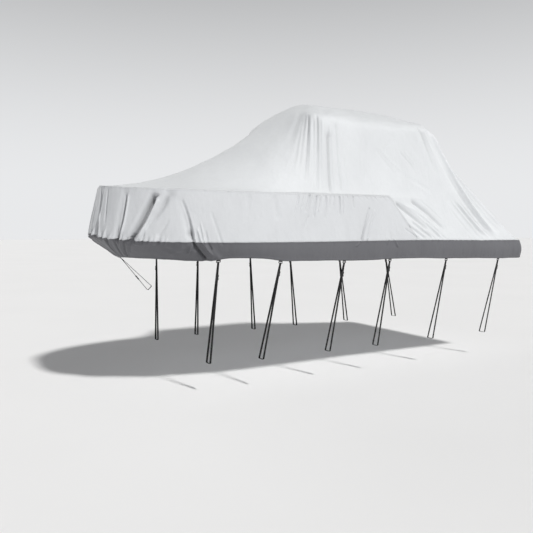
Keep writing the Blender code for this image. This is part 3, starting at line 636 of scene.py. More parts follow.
class Profile(Enum):
    """The section across a fold, from its middle out in widths. Inward is above 0."""

    TROUGH = 0
    PLEAT = 1
    RIDGE = 2

    def depth(self, across: np.ndarray, end: np.ndarray) -> np.ndarray:
        """The share of the fold's depth at a place.

        Args:
            across: The distance from the fold's line, in widths, and below 0 on its forward side.
            end: The distance past the nearer end of the line, in widths.

        Returns:
            The shares.
        """
        square = across**2 + end**2
        if self is Profile.TROUGH:
            return (1 - 0.6 * square) * np.exp(-square)
        if self is Profile.RIDGE:
            return 1.25 * np.exp(-square / 0.5) - 0.25 * np.exp(-square / 2.5)
        steep = np.where(across > 0, 1.15, 0.50)
        shoulder = 0.45 * np.exp(-(((across - 1.95) / 0.7) ** 2) - end**2)
        return np.exp(-((across / steep) ** 2) - end**2) - shoulder


@dataclass(frozen=True)
class Fold:
    """One crease along a line on the cloth."""

    side: int
    start: tuple[float, float]
    end: tuple[float, float]
    width: float
    depth: float
    to_depth: float
    profile: Profile = Profile.TROUGH
    bow: float = 0.0
    taper: float = 0.0

    # The points of a fold's line, and how many widths away it still moves the cloth
    POINTS = 33
    REACH = 3.5

    @classmethod
    def of(cls, row: dict[str, float], gain: float = 1.0) -> "Fold":
        """Makes the fold of a table's row.

        Args:
            row: The row.
            gain: The scale of its depths.

        Returns:
            The fold.
        """
        start, end = (row["edge"], row["level"]), (row["to_edge"], row["to_level"])
        depths, profile = (row["depth"] * gain, row["to_depth"] * gain), Profile(row.get("kind", 0))
        ends = row.get("bow", 0.0), row.get("taper", 0.0)
        return cls(row["side"], start, end, row["width"], *depths, profile, *ends)

    def course(self) -> tuple[np.ndarray, np.ndarray]:
        """The places that the fold's line passes through.

        Returns:
            Their edges and their levels.
        """
        share = np.linspace(0, 1, self.POINTS)
        straight = self.start[0] + (self.end[0] - self.start[0]) * share
        edge = straight + self.bow * np.sin(np.pi * share)
        return np.clip(edge, 0, 1), self.start[1] + (self.end[1] - self.start[1]) * share

    def press(self, line: np.ndarray, places: np.ndarray, out: np.ndarray) -> np.ndarray:
        """How far the fold moves places in.

        Args:
            line: The fold's line, on the port side of the cloth.
            places: Points there.
            out: The outward direction at each.

        Returns:
            The distance in, for each place.
        """
        run = np.gradient(line, axis=0)
        step = np.linalg.norm(run, axis=1)
        run /= step[:, None]
        low, high = line.min(0) - self.REACH * self.width, line.max(0) + self.REACH * self.width
        near = np.where(np.all((places > low) & (places < high), axis=1))[0]
        total = np.zeros(len(places))
        if not len(near):
            return total
        normal = out[near]
        away = places[near][:, None] - line[None]
        away = away - normal[:, None] * np.sum(away * normal[:, None], -1, keepdims=True)
        closest = np.linalg.norm(away, axis=-1).argmin(1)
        offset, ahead = away[np.arange(len(near)), closest], run[closest]
        lengthwise = np.sum(offset * ahead, -1)
        across = np.sum(offset * np.cross(ahead, normal), -1)
        last = self.POINTS - 1
        past = np.where(closest == 0, -lengthwise, np.where(closest == last, lengthwise, 0.0))
        place = np.clip((closest + lengthwise / step[closest]) / last, 0, 1)
        depth = self.depth + (self.to_depth - self.depth) * place
        if self.taper:
            depth = depth * fade(place / self.taper) * fade((1 - place) / self.taper)
        sides = across / self.width * np.sign(self.end[1] - self.start[1])
        total[near] = depth * self.profile.depth(sides, np.maximum(past, 0) / self.width)
        return total


@dataclass
class Drape:
    """The cloth on the boat: its form with every fold, pucker and slack wave."""

    form: CoverForm = field(default_factory=CoverForm)
    seed: int = 11
    wave_scale: float = 0.42
    wave_depth: float = 0.0055
    calm_width: float = 0.075
    fine_gain: float = 1.6
    loft_gain: float = 0.65
    seam_wave: float = 0.009
    hem_wave: float = 0.004
    lofted: tuple[float, float] = (0.30, 0.86)
    main: list[tuple[Fold, np.ndarray]] = field(init=False)
    fine: list[tuple[Fold, np.ndarray]] = field(init=False)
    strap_edges: list[float] = field(init=False)

    # The levels round a point whose directions are averaged for its pull
    PULL_TAPS = (-0.14, -0.07, 0.0, 0.07, 0.14)

    def __post_init__(self) -> None:
        """Makes the folds from their tables."""
        main = [Fold.of(row) for row in MAIN_FOLDS.rows]
        fine = [Fold.of(row, self.fine_gain) for row in FINE_FOLDS.rows]
        self.main, self.fine = self.drawn(main), self.drawn(fine + self.puckers())
        self.strap_edges = [self.edge_at_hem(row["x"]) for row in STRAPS.rows]

    def drawn(self, folds: list[Fold]) -> list[tuple[Fold, np.ndarray]]:
        """Each fold with its line on the cloth."""
        courses = np.array([fold.course() for fold in folds])
        return list(zip(folds, self.form.rounded(courses[:, 0], courses[:, 1])))

    def pressed(
        self, folds: list[tuple[Fold, np.ndarray]], side: Side, places: np.ndarray, out: np.ndarray
    ) -> np.ndarray:
        """How far these folds together move places in.

        Args:
            folds: The folds and their lines.
            side: The side of the boat.
            places: Points on the port side of the cloth.
            out: The outward direction at each.

        Returns:
            The distance in, for each place.
        """
        total = np.zeros(len(places))
        for fold, line in folds:
            if fold.side in (0, side.value):
                total += fold.press(line, places, out)
        return total

    def puckers(self) -> list[Fold]:
        """Small uneven folds along each seam, worked out from the rows of PUCKERS.

        Returns:
            The folds.
        """
        draw = random.Random(self.seed)
        made = []
        for row in PUCKERS.rows:
            for k in range(int(row["count"])):
                share = (k + draw.uniform(0.1, 0.9)) / row["count"]
                edge = row["edge"] + (row["to_edge"] - row["edge"]) * share
                size = draw.uniform(0.35, 1.0)
                lean = row["lean"] + draw.uniform(-0.003, 0.003)
                start = max(row["level"] - row["below"] * size * draw.uniform(0.6, 1.1), 0.0)
                end = row["level"] + row["above"] * size * draw.uniform(0.6, 1.2)
                depth = self.fine_gain * row["depth"] * size * (1 if draw.random() < 0.65 else -0.7)
                width = row["width"] * draw.uniform(0.8, 1.5)
                kinds = (Profile.TROUGH, Profile.PLEAT)
                profile = Profile.TROUGH if depth < 0 else draw.choice(kinds)
                low, high = (edge - lean / 2, start), (edge + lean / 2, end)
                made.append(Fold(row["side"], low, high, width, depth, depth, profile, 0.0, 0.45))
        return made

    def edge_at_hem(self, x: float) -> float:
        """The edge at which the hem passes this x, on either side of the boat."""
        edges = np.linspace(0.02, 0.84, 400)
        return float(np.interp(x, self.form.rounded(edges, 0 * edges)[:, 0], edges))

    def placed(self, places: np.ndarray, side: Side) -> np.ndarray:
        """Port-side points above the ground, moved to their side and the part's frame."""
        return places * (1, -side.value, 1) + (0, 0, self.form.ground)

    def outline(self, edge: np.ndarray, level: np.ndarray, side: Side) -> np.ndarray:
        """Points on the cloth with its main folds only, as its solids have them.

        Args:
            edge: The points' edges.
            level: Their levels.
            side: The side of the boat.

        Returns:
            The points in the part's frame.
        """
        edge, level = (np.asarray(v, float) for v in (edge, level))
        places, out = self.form.rounded(edge, level), self.form.facing(edge, level)
        depth = self.pressed(self.main, side, places, out)
        return self.placed(places - out * depth[:, None], side)

    def slack(self, places: np.ndarray, side: Side) -> np.ndarray:
        """Slow uneven waves in the cloth between its folds.

        Args:
            places: Points on the port side of the cloth.
            side: The side of the boat.

        Returns:
            The distance in, for each point.
        """
        stretched = [Vector((x * 1.3, y * side.value, z * 0.75)) for x, y, z in places]
        waves = [noise.fractal(place / self.wave_scale, 0.9, 2.1, 4) for place in stretched]
        return self.wave_depth * np.array(waves)

    def pull(self, edge: np.ndarray, level: np.ndarray) -> np.ndarray:
        """The direction that folds move the cloth along, which turns smoothly past each seam."""
        taps = [np.clip(level + step, 0, 4) for step in self.PULL_TAPS]
        return norm(sum(self.form.facing(edge, tap) for tap in taps))

    def uneven(self, edge: np.ndarray, level: np.ndarray, side: Side) -> np.ndarray:
        """How far the band's seam and its hem wander up and down, most of all round the bow.

        Args:
            edge: The points' edges.
            level: Their levels.
            side: The side of the boat.

        Returns:
            The distance up, for each point.
        """
        draw = random.Random(self.seed + side.value)
        seam, hem = np.zeros(len(edge)), np.zeros(len(edge))
        for _ in range(9):
            pace, start = draw.uniform(60, 420), draw.uniform(0, 6.28)
            seam += np.sin(edge * pace + start) * 12 / (pace**0.5 * 9)
            hem += np.sin(edge * pace * 0.4 + start) * 9 / (pace**0.5 * 9)
        bow = 0.18 + 0.82 * fade((0.2 - edge) / 0.05)
        wander = self.seam_wave * seam * bow * np.exp(-(((level - 1) / 0.3) ** 2))
        return (wander + self.hem_wave * hem * np.exp(-((level / 0.4) ** 2))) * fade(edge / 0.01)

    def surface(
        self, edge: np.ndarray, level: np.ndarray, side: Side
    ) -> tuple[np.ndarray, np.ndarray]:
        """Points on the finished cloth.

        Args:
            edge: The points' edges.
            level: Their levels.
            side: The side of the boat.

        Returns:
            The points in the part's frame, and how deep in a fold each of them lies.
        """
        places, out = self.form.rounded(edge, level), self.pull(edge, level)
        main = self.pressed(self.main, side, places, out)
        # From the hard top's front aft, the main folds are gentler
        aft = fade((edge - self.lofted[0]) / 0.05) * fade((self.lofted[1] - edge) / 0.05)
        main *= 1 - (1 - self.loft_gain) * aft * (main > 0)
        folds = self.pressed(self.fine, side, places, out)
        fine = folds + self.slack(places, side)
        run = SECTIONS.curve("edge", "gunwale", edge)
        # The cloth lies flat where a strap's loop is sewn behind it
        for strap_run in SECTIONS.curve("edge", "gunwale", np.array([0.0, *self.strap_edges])):
            apart = (run - strap_run) / self.calm_width
            fine *= 1 - np.exp(-(apart**4)) * fade((0.75 - level) / 0.4)
        places[:, 2] += self.uneven(edge, level, side)
        # Both sides meet at the bow, the stern and the roof's ridge
        fine *= fade(edge / 0.004) * fade((1 - edge) / 0.004) * fade((4 - level) / 0.08)
        return self.placed(places - out * (main + fine)[:, None], side), main + folds


# --- Shader maths ---


class Value:
    """A number that varies over a surface: a socket, with Python's operators."""

    def __init__(self, tree: "Nodes", socket: bpy.types.NodeSocket) -> None:
        """Wraps a socket of a node tree."""
        self.tree = tree
        self.socket = socket

    def _math(self, operation: str, *values: Any) -> "Value":
        """The result of a Math node on these values."""
        return self.tree.add("ShaderNodeMath", {"operation": operation}, dict(enumerate(values)))

    def __add__(self, other: Any) -> "Value":
        """self + other."""
        return self._math("ADD", self, other)

    def __sub__(self, other: Any) -> "Value":
        """self - other."""
        return self._math("SUBTRACT", self, other)

    def __rsub__(self, other: Any) -> "Value":
        """other - self."""
        return self._math("SUBTRACT", other, self)

    def __mul__(self, other: Any) -> "Value":
        """self * other."""
        return self._math("MULTIPLY", self, other)

    def __truediv__(self, other: Any) -> "Value":
        """self / other."""
        return self._math("DIVIDE", self, other)

    def __rtruediv__(self, other: Any) -> "Value":
        """other / self."""
        return self._math("DIVIDE", other, self)

    def __abs__(self) -> "Value":
        """The distance from 0."""
        return self._math("ABSOLUTE", self)

    __radd__ = __add__
    __rmul__ = __mul__

    def sine(self) -> "Value":
        """The sine of this angle."""
        return self._math("SINE", self)

    def repeat(self, length: float) -> "Value":
        """How far into its repeat this is, from 0 to 1."""
        return self._math("FRACT", self / length)

    def least(self, other: Any) -> "Value":
        """The smaller of the two."""
        return self._math("MINIMUM", self, other)

    def most(self, other: Any) -> "Value":
        """The larger of the two."""
        return self._math("MAXIMUM", self, other)

    def ramp(self, low: float, high: float) -> "Value":
        """A smooth rise from 0 at low to 1 at high, or a fall where high is below low."""
        inputs = {"Value": self, "From Min": low, "From Max": high, "To Min": 0.0, "To Max": 1.0}
        return self.tree.add("ShaderNodeMapRange", {"interpolation_type": "SMOOTHSTEP"}, inputs)


class Nodes:
    """A material's or world's node tree, and what builds it."""

    def __init__(self, owner: bpy.types.Material | bpy.types.World) -> None:
        """Starts from the owner's own shader.

        Args:
            owner: The material or world.
        """
        owner.use_nodes = True
        self.tree = owner.node_tree
        kinds = ("BSDF_PRINCIPLED", "BACKGROUND")
        self.shader = next(node for node in self.tree.nodes if node.type in kinds)

    def add(
        self, kind: str, settings: dict[str, Any], inputs: dict[Any, Any], output: Any = 0
    ) -> Value:
        """Adds a node.

        Args:
            kind: The node's type.
            settings: Its properties, set before its inputs.
            inputs: Its inputs' values or links, by name or number.
            output: The output to return, by name or number.

        Returns:
            The output.
        """
        node = self.tree.nodes.new(kind)
        for name, value in settings.items():
            setattr(node, name, value)
        for name, value in inputs.items():
            self.feed(node.inputs[name], value)
        return Value(self, node.outputs[output])

    def feed(self, socket: bpy.types.NodeSocket, value: Any) -> None:
        """Gives a socket a link or a value.

        Args:
            socket: The socket.
            value: A Value to link, or what to set.
        """
        if isinstance(value, Value):
            self.tree.links.new(value.socket, socket)
        else:
            socket.default_value = value

    def object_place(self) -> Value:
        """The place on the object, in metres."""
        return self.add("ShaderNodeTexCoord", {}, {}, "Object")

    def attribute(self, name: str) -> Value:
        """A number stored on the mesh's points."""
        return self.add("ShaderNodeAttribute", {"attribute_name": name}, {}, "Fac")

    def stretch(self, place: Value, scale: tuple[float, float, float]) -> Value:
        """A place with its axes scaled."""
        settings = {"operation": "MULTIPLY"}
        return self.add("ShaderNodeVectorMath", settings, {0: place, 1: scale})

    def noise(self, place: Value, scale: float, detail: float = 3.0, rough: float = 0.5) -> Value:
        """Soft noise from 0 to 1."""
        inputs = {"Vector": place, "Scale": scale, "Detail": detail, "Roughness": rough}
        return self.add("ShaderNodeTexNoise", {"noise_dimensions": "3D"}, inputs, "Fac")

    def blend(
        self, share: Value, a: tuple[float, ...] | Value, b: tuple[float, ...] | Value
    ) -> Value:
        """A colour between a and b.

        Args:
            share: 0 for a and 1 for b.
            a: A colour.
            b: Another.

        Returns:
            The colour.
        """
        colours = [c if isinstance(c, Value) else (*c, 1.0) for c in (a, b)]
        settings = {"data_type": "RGBA", "blend_type": "MIX", "clamp_factor": True}
        inputs = {"Factor": share, 6: colours[0], 7: colours[1]}
        return self.add("ShaderNodeMix", settings, inputs, 2)

    def bump(
        self, height: Value, distance: float, strength: float, under: Value | None = None
    ) -> Value:
        """A bump's normal, on top of another's."""
        inputs = {"Height": height, "Distance": distance, "Strength": strength}
        return self.add("ShaderNodeBump", {}, inputs | ({"Normal": under} if under else {}))

    def finish(self, **sockets: Any) -> None:
        """Sets the shader's sockets, with _ for the spaces in their names."""
        for name, value in sockets.items():
            self.feed(self.shader.inputs[name.replace("_", " ")], value)


# --- Finishes ---


def shade(colour: tuple[float, float, float], share: float) -> tuple[float, float, float]:
    """The colour, lighter or darker by a share."""
    return tuple(min(part * share, 1.0) for part in colour)


@dataclass(frozen=True)
class ClothFinish:
    """Coated polyester with a plain weave, double-stitched along its seams.

    The mesh carries along, low and high: metres along the panel, from its lower edge and to its
    upper edge, and crease: how deep in a fold each point lies, which the colour turns into painted
    shade in the folds and a painted highlight on the ridges.
    """

    name: str
    colour: tuple[float, float, float]
    thread: tuple[float, float, float]
    roughness: float = 0.62
    yarn: float = 0.0016
    crumple: float = 0.0035
    stitch: float = 0.0055
    stitch_rows: tuple[float, float] = (0.004, 0.016)
    hem_width: float = 0.022
    soil: float = 0.0
    # Painted shade in folds: full at this fold depth, darkening the colour to this share of itself
    deep: float = 0.060
    shadow: float = 0.50

    def weave(self, nodes: Nodes, along: Value, low: Value) -> Value:
        """The weave's height, from -1 to 1: yarns over and under each other."""
        turn = 2 * math.pi / self.yarn
        return (along * turn).sine() * (low * turn).sine()

    def stitching(self, along: Value, apart: Value) -> Value:
        """The two rows of stitches beside a seam.

        Args:
            along: Metres along the seam.
            apart: Metres away from it.

        Returns:
            1 on the stitches and 0 elsewhere.
        """
        dash = abs(along.repeat(self.stitch) - 0.5).ramp(0.40, 0.32)
        first, second = (abs(apart - row).ramp(0.0011, 0.0005) * dash for row in self.stitch_rows)
        return first.most(second)

    def material(self) -> bpy.types.Material:
        """Builds the material.

        Returns:
            The material.
        """
        material = bpy.data.materials.new(self.name)
        nodes = Nodes(material)
        along, low, high = (nodes.attribute(name) for name in ("along", "low", "high"))
        place = nodes.object_place()
        edge = low.least(high)
        stitches = self.stitching(along, edge)
        doubled = edge.ramp(self.hem_width, self.hem_width - 0.0015)

        cloud = nodes.noise(nodes.stretch(place, (1.0, 1.0, 0.6)), 1.7, 5.0, 0.55)
        mottle = nodes.noise(place, 24.0, 3.0, 0.6)
        dim, bright = shade(self.colour, 0.965), shade(self.colour, 1.02)
        tone = nodes.blend(cloud.ramp(0.3, 0.7), dim, bright)
        tone = nodes.blend(mottle.ramp(0.35, 0.75) * 0.3, tone, shade(self.colour, 0.955))
        if self.soil:
            streak = nodes.noise(nodes.stretch(place, (5.0, 5.0, 0.7)), 2.6, 4.0, 0.6)
            dusty = streak.ramp(0.45, 0.8) * low.ramp(0.5, 0.0) * self.soil
            tone = nodes.blend(dusty, tone, shade(self.colour, 0.80))
        # Painted shade darkens the colour in the folds, and a painted highlight lightens it on
        # ridges
        crease = nodes.attribute("crease")
        shadow = shade(self.colour, self.shadow)
        tone = nodes.blend(crease.ramp(0.004, self.deep) * 0.85, tone, shadow)
        tone = nodes.blend(crease.ramp(-0.001, -0.012) * 0.5, tone, shade(self.colour, 1.10))
        tone = nodes.blend(doubled * 0.35, tone, shade(self.colour, 0.93))
        # Painted shade: a thin dark line along each seam and along the hem
        seam_shade = edge.ramp(0.0035, 0.0008)
        tone = nodes.blend(seam_shade * 0.28, tone, shade(self.colour, 0.62))
        tone = nodes.blend(stitches * 0.8, tone, self.thread)

        creases = nodes.noise(nodes.stretch(place, (1.0, 1.0, 0.55)), 5.5, 5.0, 0.55)
        ripples = nodes.noise(nodes.stretch(place, (2.2, 2.2, 0.9)), 9.0, 3.0, 0.5)
        crumpled = nodes.bump(creases + ripples * 0.24, self.crumple * 4, 0.6)
        hemmed = nodes.bump(doubled + stitches * -0.6, 0.0012, 0.8, crumpled)
        woven = nodes.bump(self.weave(nodes, along, low), self.yarn * 0.16, 0.45, hemmed)
        nodes.finish(
            Base_Color=tone,
            Roughness=self.roughness + (mottle - 0.5) * 0.10,
            Normal=woven,
            Specular_IOR_Level=0.30,
            Sheen_Weight=0.12,
            Sheen_Roughness=0.5,
        )
        return material


@dataclass(frozen=True)
class WebbingFinish:
    """Black polyester webbing. The mesh carries along and across in metres."""

    name: str = "black webbing"
    colour: tuple[float, float, float] = (0.014, 0.014, 0.015)
    rib: float = 0.0021
    yarn: float = 0.0030

    def material(self) -> bpy.types.Material:
        """Builds the material.

        Returns:
            The material.
        """
        material = bpy.data.materials.new(self.name)
        nodes = Nodes(material)
        along, across = nodes.attribute("along"), nodes.attribute("across")
        slant = along + abs(across.repeat(self.yarn * 2) - 0.5) * self.yarn * 1.6
        ribs = (slant * (2 * math.pi / self.rib)).sine()
        cords = (across * (2 * math.pi / self.yarn)).sine()
        height = ribs * 0.6 + cords * 0.4
        worn = nodes.noise(nodes.object_place(), 60.0, 4.0, 0.6)
        edge = abs(across).ramp(0.0105, 0.0122)
        # Painted light and shade: the weave's ribs lighter and the grooves between them darker
        tone = nodes.blend(height.ramp(-0.8, 0.9), shade(self.colour, 0.5), shade(self.colour, 1.3))
        tone = nodes.blend(worn.ramp(0.45, 0.8) * 0.5 + edge * 0.25, tone, shade(self.colour, 2.2))
        nodes.finish(
            Base_Color=tone,
            Roughness=0.72 + (worn - 0.5) * 0.2,
            Normal=nodes.bump(height, 0.0006, 0.7),
            Specular_IOR_Level=0.25,
            Sheen_Weight=0.06,
            Sheen_Roughness=0.4,
        )
        return material


@dataclass(frozen=True)
class PlasticFinish:
    """Moulded black plastic with a fine grain and pale scuffs."""

    name: str = "black moulded plastic"
    colour: tuple[float, float, float] = (0.011, 0.011, 0.012)

    def material(self) -> bpy.types.Material:
        """Builds the material.

        Returns:
            The material.
        """
        material = bpy.data.materials.new(self.name)
        nodes = Nodes(material)
        place = nodes.object_place()
        grain = nodes.noise(place, 1400.0, 2.0, 0.5)
        scuffs = nodes.noise(nodes.stretch(place, (1.0, 1.0, 6.0)), 90.0, 5.0, 0.7)
        tone = nodes.blend(scuffs.ramp(0.55, 0.85) * 0.6, self.colour, shade(self.colour, 4.0))
        nodes.finish(
            Base_Color=tone,
            Roughness=0.38 + scuffs * 0.16,
            Normal=nodes.bump(grain, 0.0002, 0.4),
        )
        return material


@dataclass(frozen=True)
class FloorFinish:
    """A pale, matt studio floor."""

    name: str = "studio floor"
    colour: tuple[float, float, float] = (0.80, 0.80, 0.805)

    def material(self) -> bpy.types.Material:
        """Builds the material.

        Returns:
            The material.
        """
        material = bpy.data.materials.new(self.name)
        nodes = Nodes(material)
        cloud = nodes.noise(nodes.object_place(), 0.35, 3.0, 0.5)
        tone = nodes.blend(cloud.ramp(0.3, 0.7), shade(self.colour, 0.985), self.colour)
        nodes.finish(Base_Color=tone, Roughness=0.9, Specular_IOR_Level=0.1)
        return material


# --- Meshes ---


class Piece:
    """Turns a bmesh into a piece of the cover."""

    @staticmethod
    def shape(bm: bmesh.types.BMesh, places: np.ndarray, **numbers: np.ndarray) -> None:
        """Moves a bmesh's points and stores numbers on them.

        Args:
            bm: The bmesh.
            places: Where each point goes.
            numbers: Numbers for the points, by name.
        """
        layers = [bm.verts.layers.float.new(name) for name in numbers]
        bm.verts.ensure_lookup_table()
        for vert, place, *values in zip(bm.verts, places, *numbers.values()):
            vert.co = place
            for layer, value in zip(layers, values):
                vert[layer] = value

    @staticmethod
    def make(name: str, bm: bmesh.types.BMesh, material: bpy.types.Material) -> bpy.types.Object:
        """Makes an object of a bmesh, which is freed.

        Args:
            name: The object's name.
            bm: The bmesh.
            material: Its material.

        Returns:
            The object.
        """
        mesh = bpy.data.meshes.new(name)
        bm.to_mesh(mesh)
        bm.free()
        mesh.materials.append(material)
        mesh.shade_smooth()
        made = bpy.data.objects.new(name, mesh)
        bpy.context.scene.collection.objects.link(made)
        return made

    @staticmethod
    def thicken(piece: bpy.types.Object, thickness: float, offset: float) -> None:
        """Gives a sheet its thickness.

        Args:
            piece: The sheet.
            thickness: Its thickness.
            offset: -1 for all of it inward, and 0 for half to each side.
        """
        solid = piece.modifiers.new("Thickness", "SOLIDIFY")
        solid.thickness = thickness
        solid.offset = offset

    @staticmethod
    def bevel(piece: bpy.types.Object, width: float) -> bpy.types.Modifier:
        """Rounds a piece's edges.

        Args:
            piece: The piece.
            width: The bevel's width.

        Returns:
            The modifier.
        """
        edges = piece.modifiers.new("Edges", "BEVEL")
        edges.width = width
        edges.segments = 2
        return edges

    @staticmethod
    def attach(piece: bpy.types.Object, slot: str, *nodes: str) -> None:
        """Puts a piece on the cover in place of its CAD nodes.

        Args:
            piece: The piece.
            slot: The slot of its material, which is not used.
            nodes: The CAD nodes that it stands for.
        """
        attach(piece, "root")
        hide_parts(*nodes)


@dataclass
class ClothPanel:
    """A panel of cloth: a fine grid laid on the drape, with its seams and hem."""

    name: str
    drape: Drape
    finish: ClothFinish
    slot: str
    columns: int
    rows: int
    thickness: float = 0.002

    # Metres along the panels for one of edge at the diagonal seam, how near two points have to be
    # to join, the samples of a span, and a place well inside the cloth
    SEAM_RUN = 7.7
    MERGE = 2e-5
    SAMPLES = 60
    MIDDLE = (-0.4, 0.0, -1.8)

    def lay(
        self, edge: np.ndarray, level: np.ndarray, side: np.ndarray
    ) -> tuple[np.ndarray, np.ndarray]:
        """Lays points on the cloth.

        Args:
            edge: The points' edges.
            level: Their levels.
            side: Their sides' signs.

        Returns:
            The points in the part's frame, and how deep in a fold each of them lies.
        """
        places, depth = np.zeros((len(edge), 3)), np.zeros(len(edge))
        for each in Side:
            mine = side == each.value
            if mine.any():
                places[mine], depth[mine] = self.drape.surface(edge[mine], level[mine], each)
        return places, depth

    @staticmethod
    def grid(columns: int, rows: int) -> tuple[bmesh.types.BMesh, np.ndarray, np.ndarray]:
        """Makes a flat grid.

        Args:
            columns: Its number of columns.
            rows: Its number of rows.

        Returns:
            The grid, and how far along and up it each of its points lies, from 0 to 1.
        """
        bm = bmesh.new()
        bmesh.ops.create_grid(bm, x_segments=columns, y_segments=rows, size=0.5)
        flat = np.array([vert.co for vert in bm.verts])
        return bm, *(np.clip(np.round(flat[:, k] + 0.5, 6), 0, 1) for k in range(2))

    def span(self, edge: np.ndarray, start: float, end: float) -> np.ndarray:
        """The cloth's height between two levels.

        Args:
            edge: The edges to look at, on the port side.
            start: The lower level.
            end: The upper level.

        Returns:
            The height at each edge, in metres.
        """
        samples = np.linspace(0, 1, self.SAMPLES)
        rounded = self.drape.form.rounded
        low, high = (rounded(samples, np.full_like(samples, level)) for level in (start, end))
        return np.interp(edge, samples, np.linalg.norm(high - low, axis=1))

    @staticmethod
    def face_out(bm: bmesh.types.BMesh) -> None:
        """Turns the faces away from the middle of the boat.

        Args:
            bm: The panel.
        """
        middle = Vector(ClothPanel.MIDDLE)
        bm.normal_update()
        if sum(face.normal.dot(face.calc_center_median() - middle) for face in bm.faces) < 0:
            bmesh.ops.reverse_faces(bm, faces=bm.faces)

    def finished(
        self, bm: bmesh.types.BMesh, node: str, flat: tuple[float, float], area: float
    ) -> bpy.types.Object:
        """Makes the panel of its bmesh.

        Args:
            bm: The bmesh.
            node: The CAD node that the panel stands for.
            flat: The sheet's width and length as cut, which are not used.
            area: Its area, which is not used.

        Returns:
            The piece.
        """
        piece = Piece.make(self.name, bm, self.finish.material())
        Piece.thicken(piece, self.thickness, -1.0)
        Piece.attach(piece, self.slot, node)
        return piece


@dataclass
class TopPanel(ClothPanel):
    """The white top: over the roof and the bow, and aft of the rails down to the band."""

    aft_columns: int = 152
    aft_rows: int = 36
    wall_rows: float = 0.68

    # The columns stand closest where the cloth has most creases
    COLUMN_KNOTS = (0, 36, 120, 148, 196, 272, 300)
    EDGE_KNOTS = (0, 0.33, 0.50, 0.56, 0.64, 0.83, 1)

    def around(self, u: np.ndarray, first: int) -> tuple[np.ndarray, np.ndarray]:
        """Edge and side for a grid that runs from port round the stern to starboard.

        Args:
            u: The points' shares along the grid.
            first: The column of the whole panel that the grid starts at.

        Returns:
            Each point's edge and its side.
        """
        port = u <= 0.5
        column = np.rint(first + (self.columns - first) * np.where(port, 2 * u, 2 - 2 * u))
        return np.interp(column, self.COLUMN_KNOTS, self.EDGE_KNOTS), np.where(port, -1, 1)

    def build(self) -> bpy.types.Object:
        """Makes the panel.

        Returns:
            The piece.
        """
        bm, u, v = self.grid(2 * self.columns, self.rows)
        edge, side = self.around(u, 0)
        wall, roof = 2 + v / self.wall_rows, 3 + (v - self.wall_rows) / (1 - self.wall_rows)
        level = np.where(v < self.wall_rows, wall, roof)
        aft, aft_u, aft_v = self.grid(2 * self.aft_columns, self.aft_rows)
        aft_edge, aft_side = self.around(aft_u, self.columns - self.aft_columns)
        mesh = bpy.data.meshes.new("aft")
        aft.to_mesh(mesh)
        aft.free()
        bm.from_mesh(mesh)
        bpy.data.meshes.remove(mesh)

        edge, side = np.concatenate([edge, aft_edge]), np.concatenate([side, aft_side])
        level = np.concatenate([level, 1 + aft_v])
        places, crease = self.lay(edge, level, side)
        run = SECTIONS.curve("edge", "rail", edge)
        from_rail = (level - 2) * self.span(edge, 2.0, 3.0)
        from_band = (level - 1) * self.span(edge, 1.0, 2.0)
        low = np.where(edge < self.drape.form.side_end, from_rail, from_band)
        # The panel's own edge runs up the diagonal seam at the rail's end too
        diagonal = (edge - self.drape.form.side_end) * self.SEAM_RUN
        low = np.where(level < 2, np.minimum(low, diagonal), low)
        Piece.shape(bm, places, along=run, low=low, high=np.ones_like(low), crease=crease)
        bmesh.ops.remove_doubles(bm, verts=bm.verts, dist=self.MERGE)
        self.face_out(bm)
        return self.finished(bm, "top_panel", (5.2, 6.9), 23.0)


@dataclass
class SidePanel(ClothPanel):
    """The grey panel between the band and the bow rail on one side."""

    side: Side = Side.PORT

    def build(self) -> bpy.types.Object:
        """Makes the panel.

        Returns:
            The piece.
        """
        end = self.drape.form.side_end
        bm, u, v = self.grid(self.columns, self.rows)
        edge = end * u
        places, crease = self.lay(edge, 1 + v, np.full(len(u), self.side.value))
        run, height = SECTIONS.curve("edge", "rail", edge), self.span(edge, 1.0, 2.0)
        high = np.minimum((1 - v) * height, (end - edge) * self.SEAM_RUN)
        Piece.shape(bm, places, along=run, low=v * height, high=high, crease=crease)
        self.face_out(bm)
        return self.finished(bm, f"side_panel_{self.side.word}", (0.62, 4.75), 2.70)


@dataclass
class SkirtBand(ClothPanel):
    """The dark band all round, from its rolled hem to the gunwale's seam."""

    hem_roll: float = 0.0035
    hem_height: float = 0.028
    crowding: float = 1.15

    def build(self) -> bpy.types.Object:
        """Makes the band.

        Returns:
            The piece.
        """
        bm, u, v = self.grid(2 * self.columns, self.rows)
        port = u <= 0.5
        edge, level = np.where(port, 2 * u, 2 - 2 * u), v**self.crowding
        places, crease = self.lay(edge, level, np.where(port, -1, 1))
        run, height = SECTIONS.curve("edge", "gunwale", edge), self.span(edge, 0.0, 1.0)
        low, high = level * height, (1 - level) * height
        Piece.shape(bm, places, along=run, low=low, high=high, crease=crease)
        bmesh.ops.remove_doubles(bm, verts=bm.verts, dist=self.MERGE)
        self.face_out(bm)
        self.roll_hem(bm)
        return self.finished(bm, "skirt_band", (0.27, 16.3), 4.25)

    def roll_hem(self, bm: bmesh.types.BMesh) -> None:
        """Swells the hem, where the cloth is turned up round a cord.

        Args:
            bm: The band.
        """
        bm.normal_update()
        low = bm.verts.layers.float["low"]
        for vert in bm.verts:
            share = vert[low] / self.hem_height
            if share < 1:
                vert.co += vert.normal * self.hem_roll * math.sin(math.pi * max(share, 0.0))


# --- Straps ---


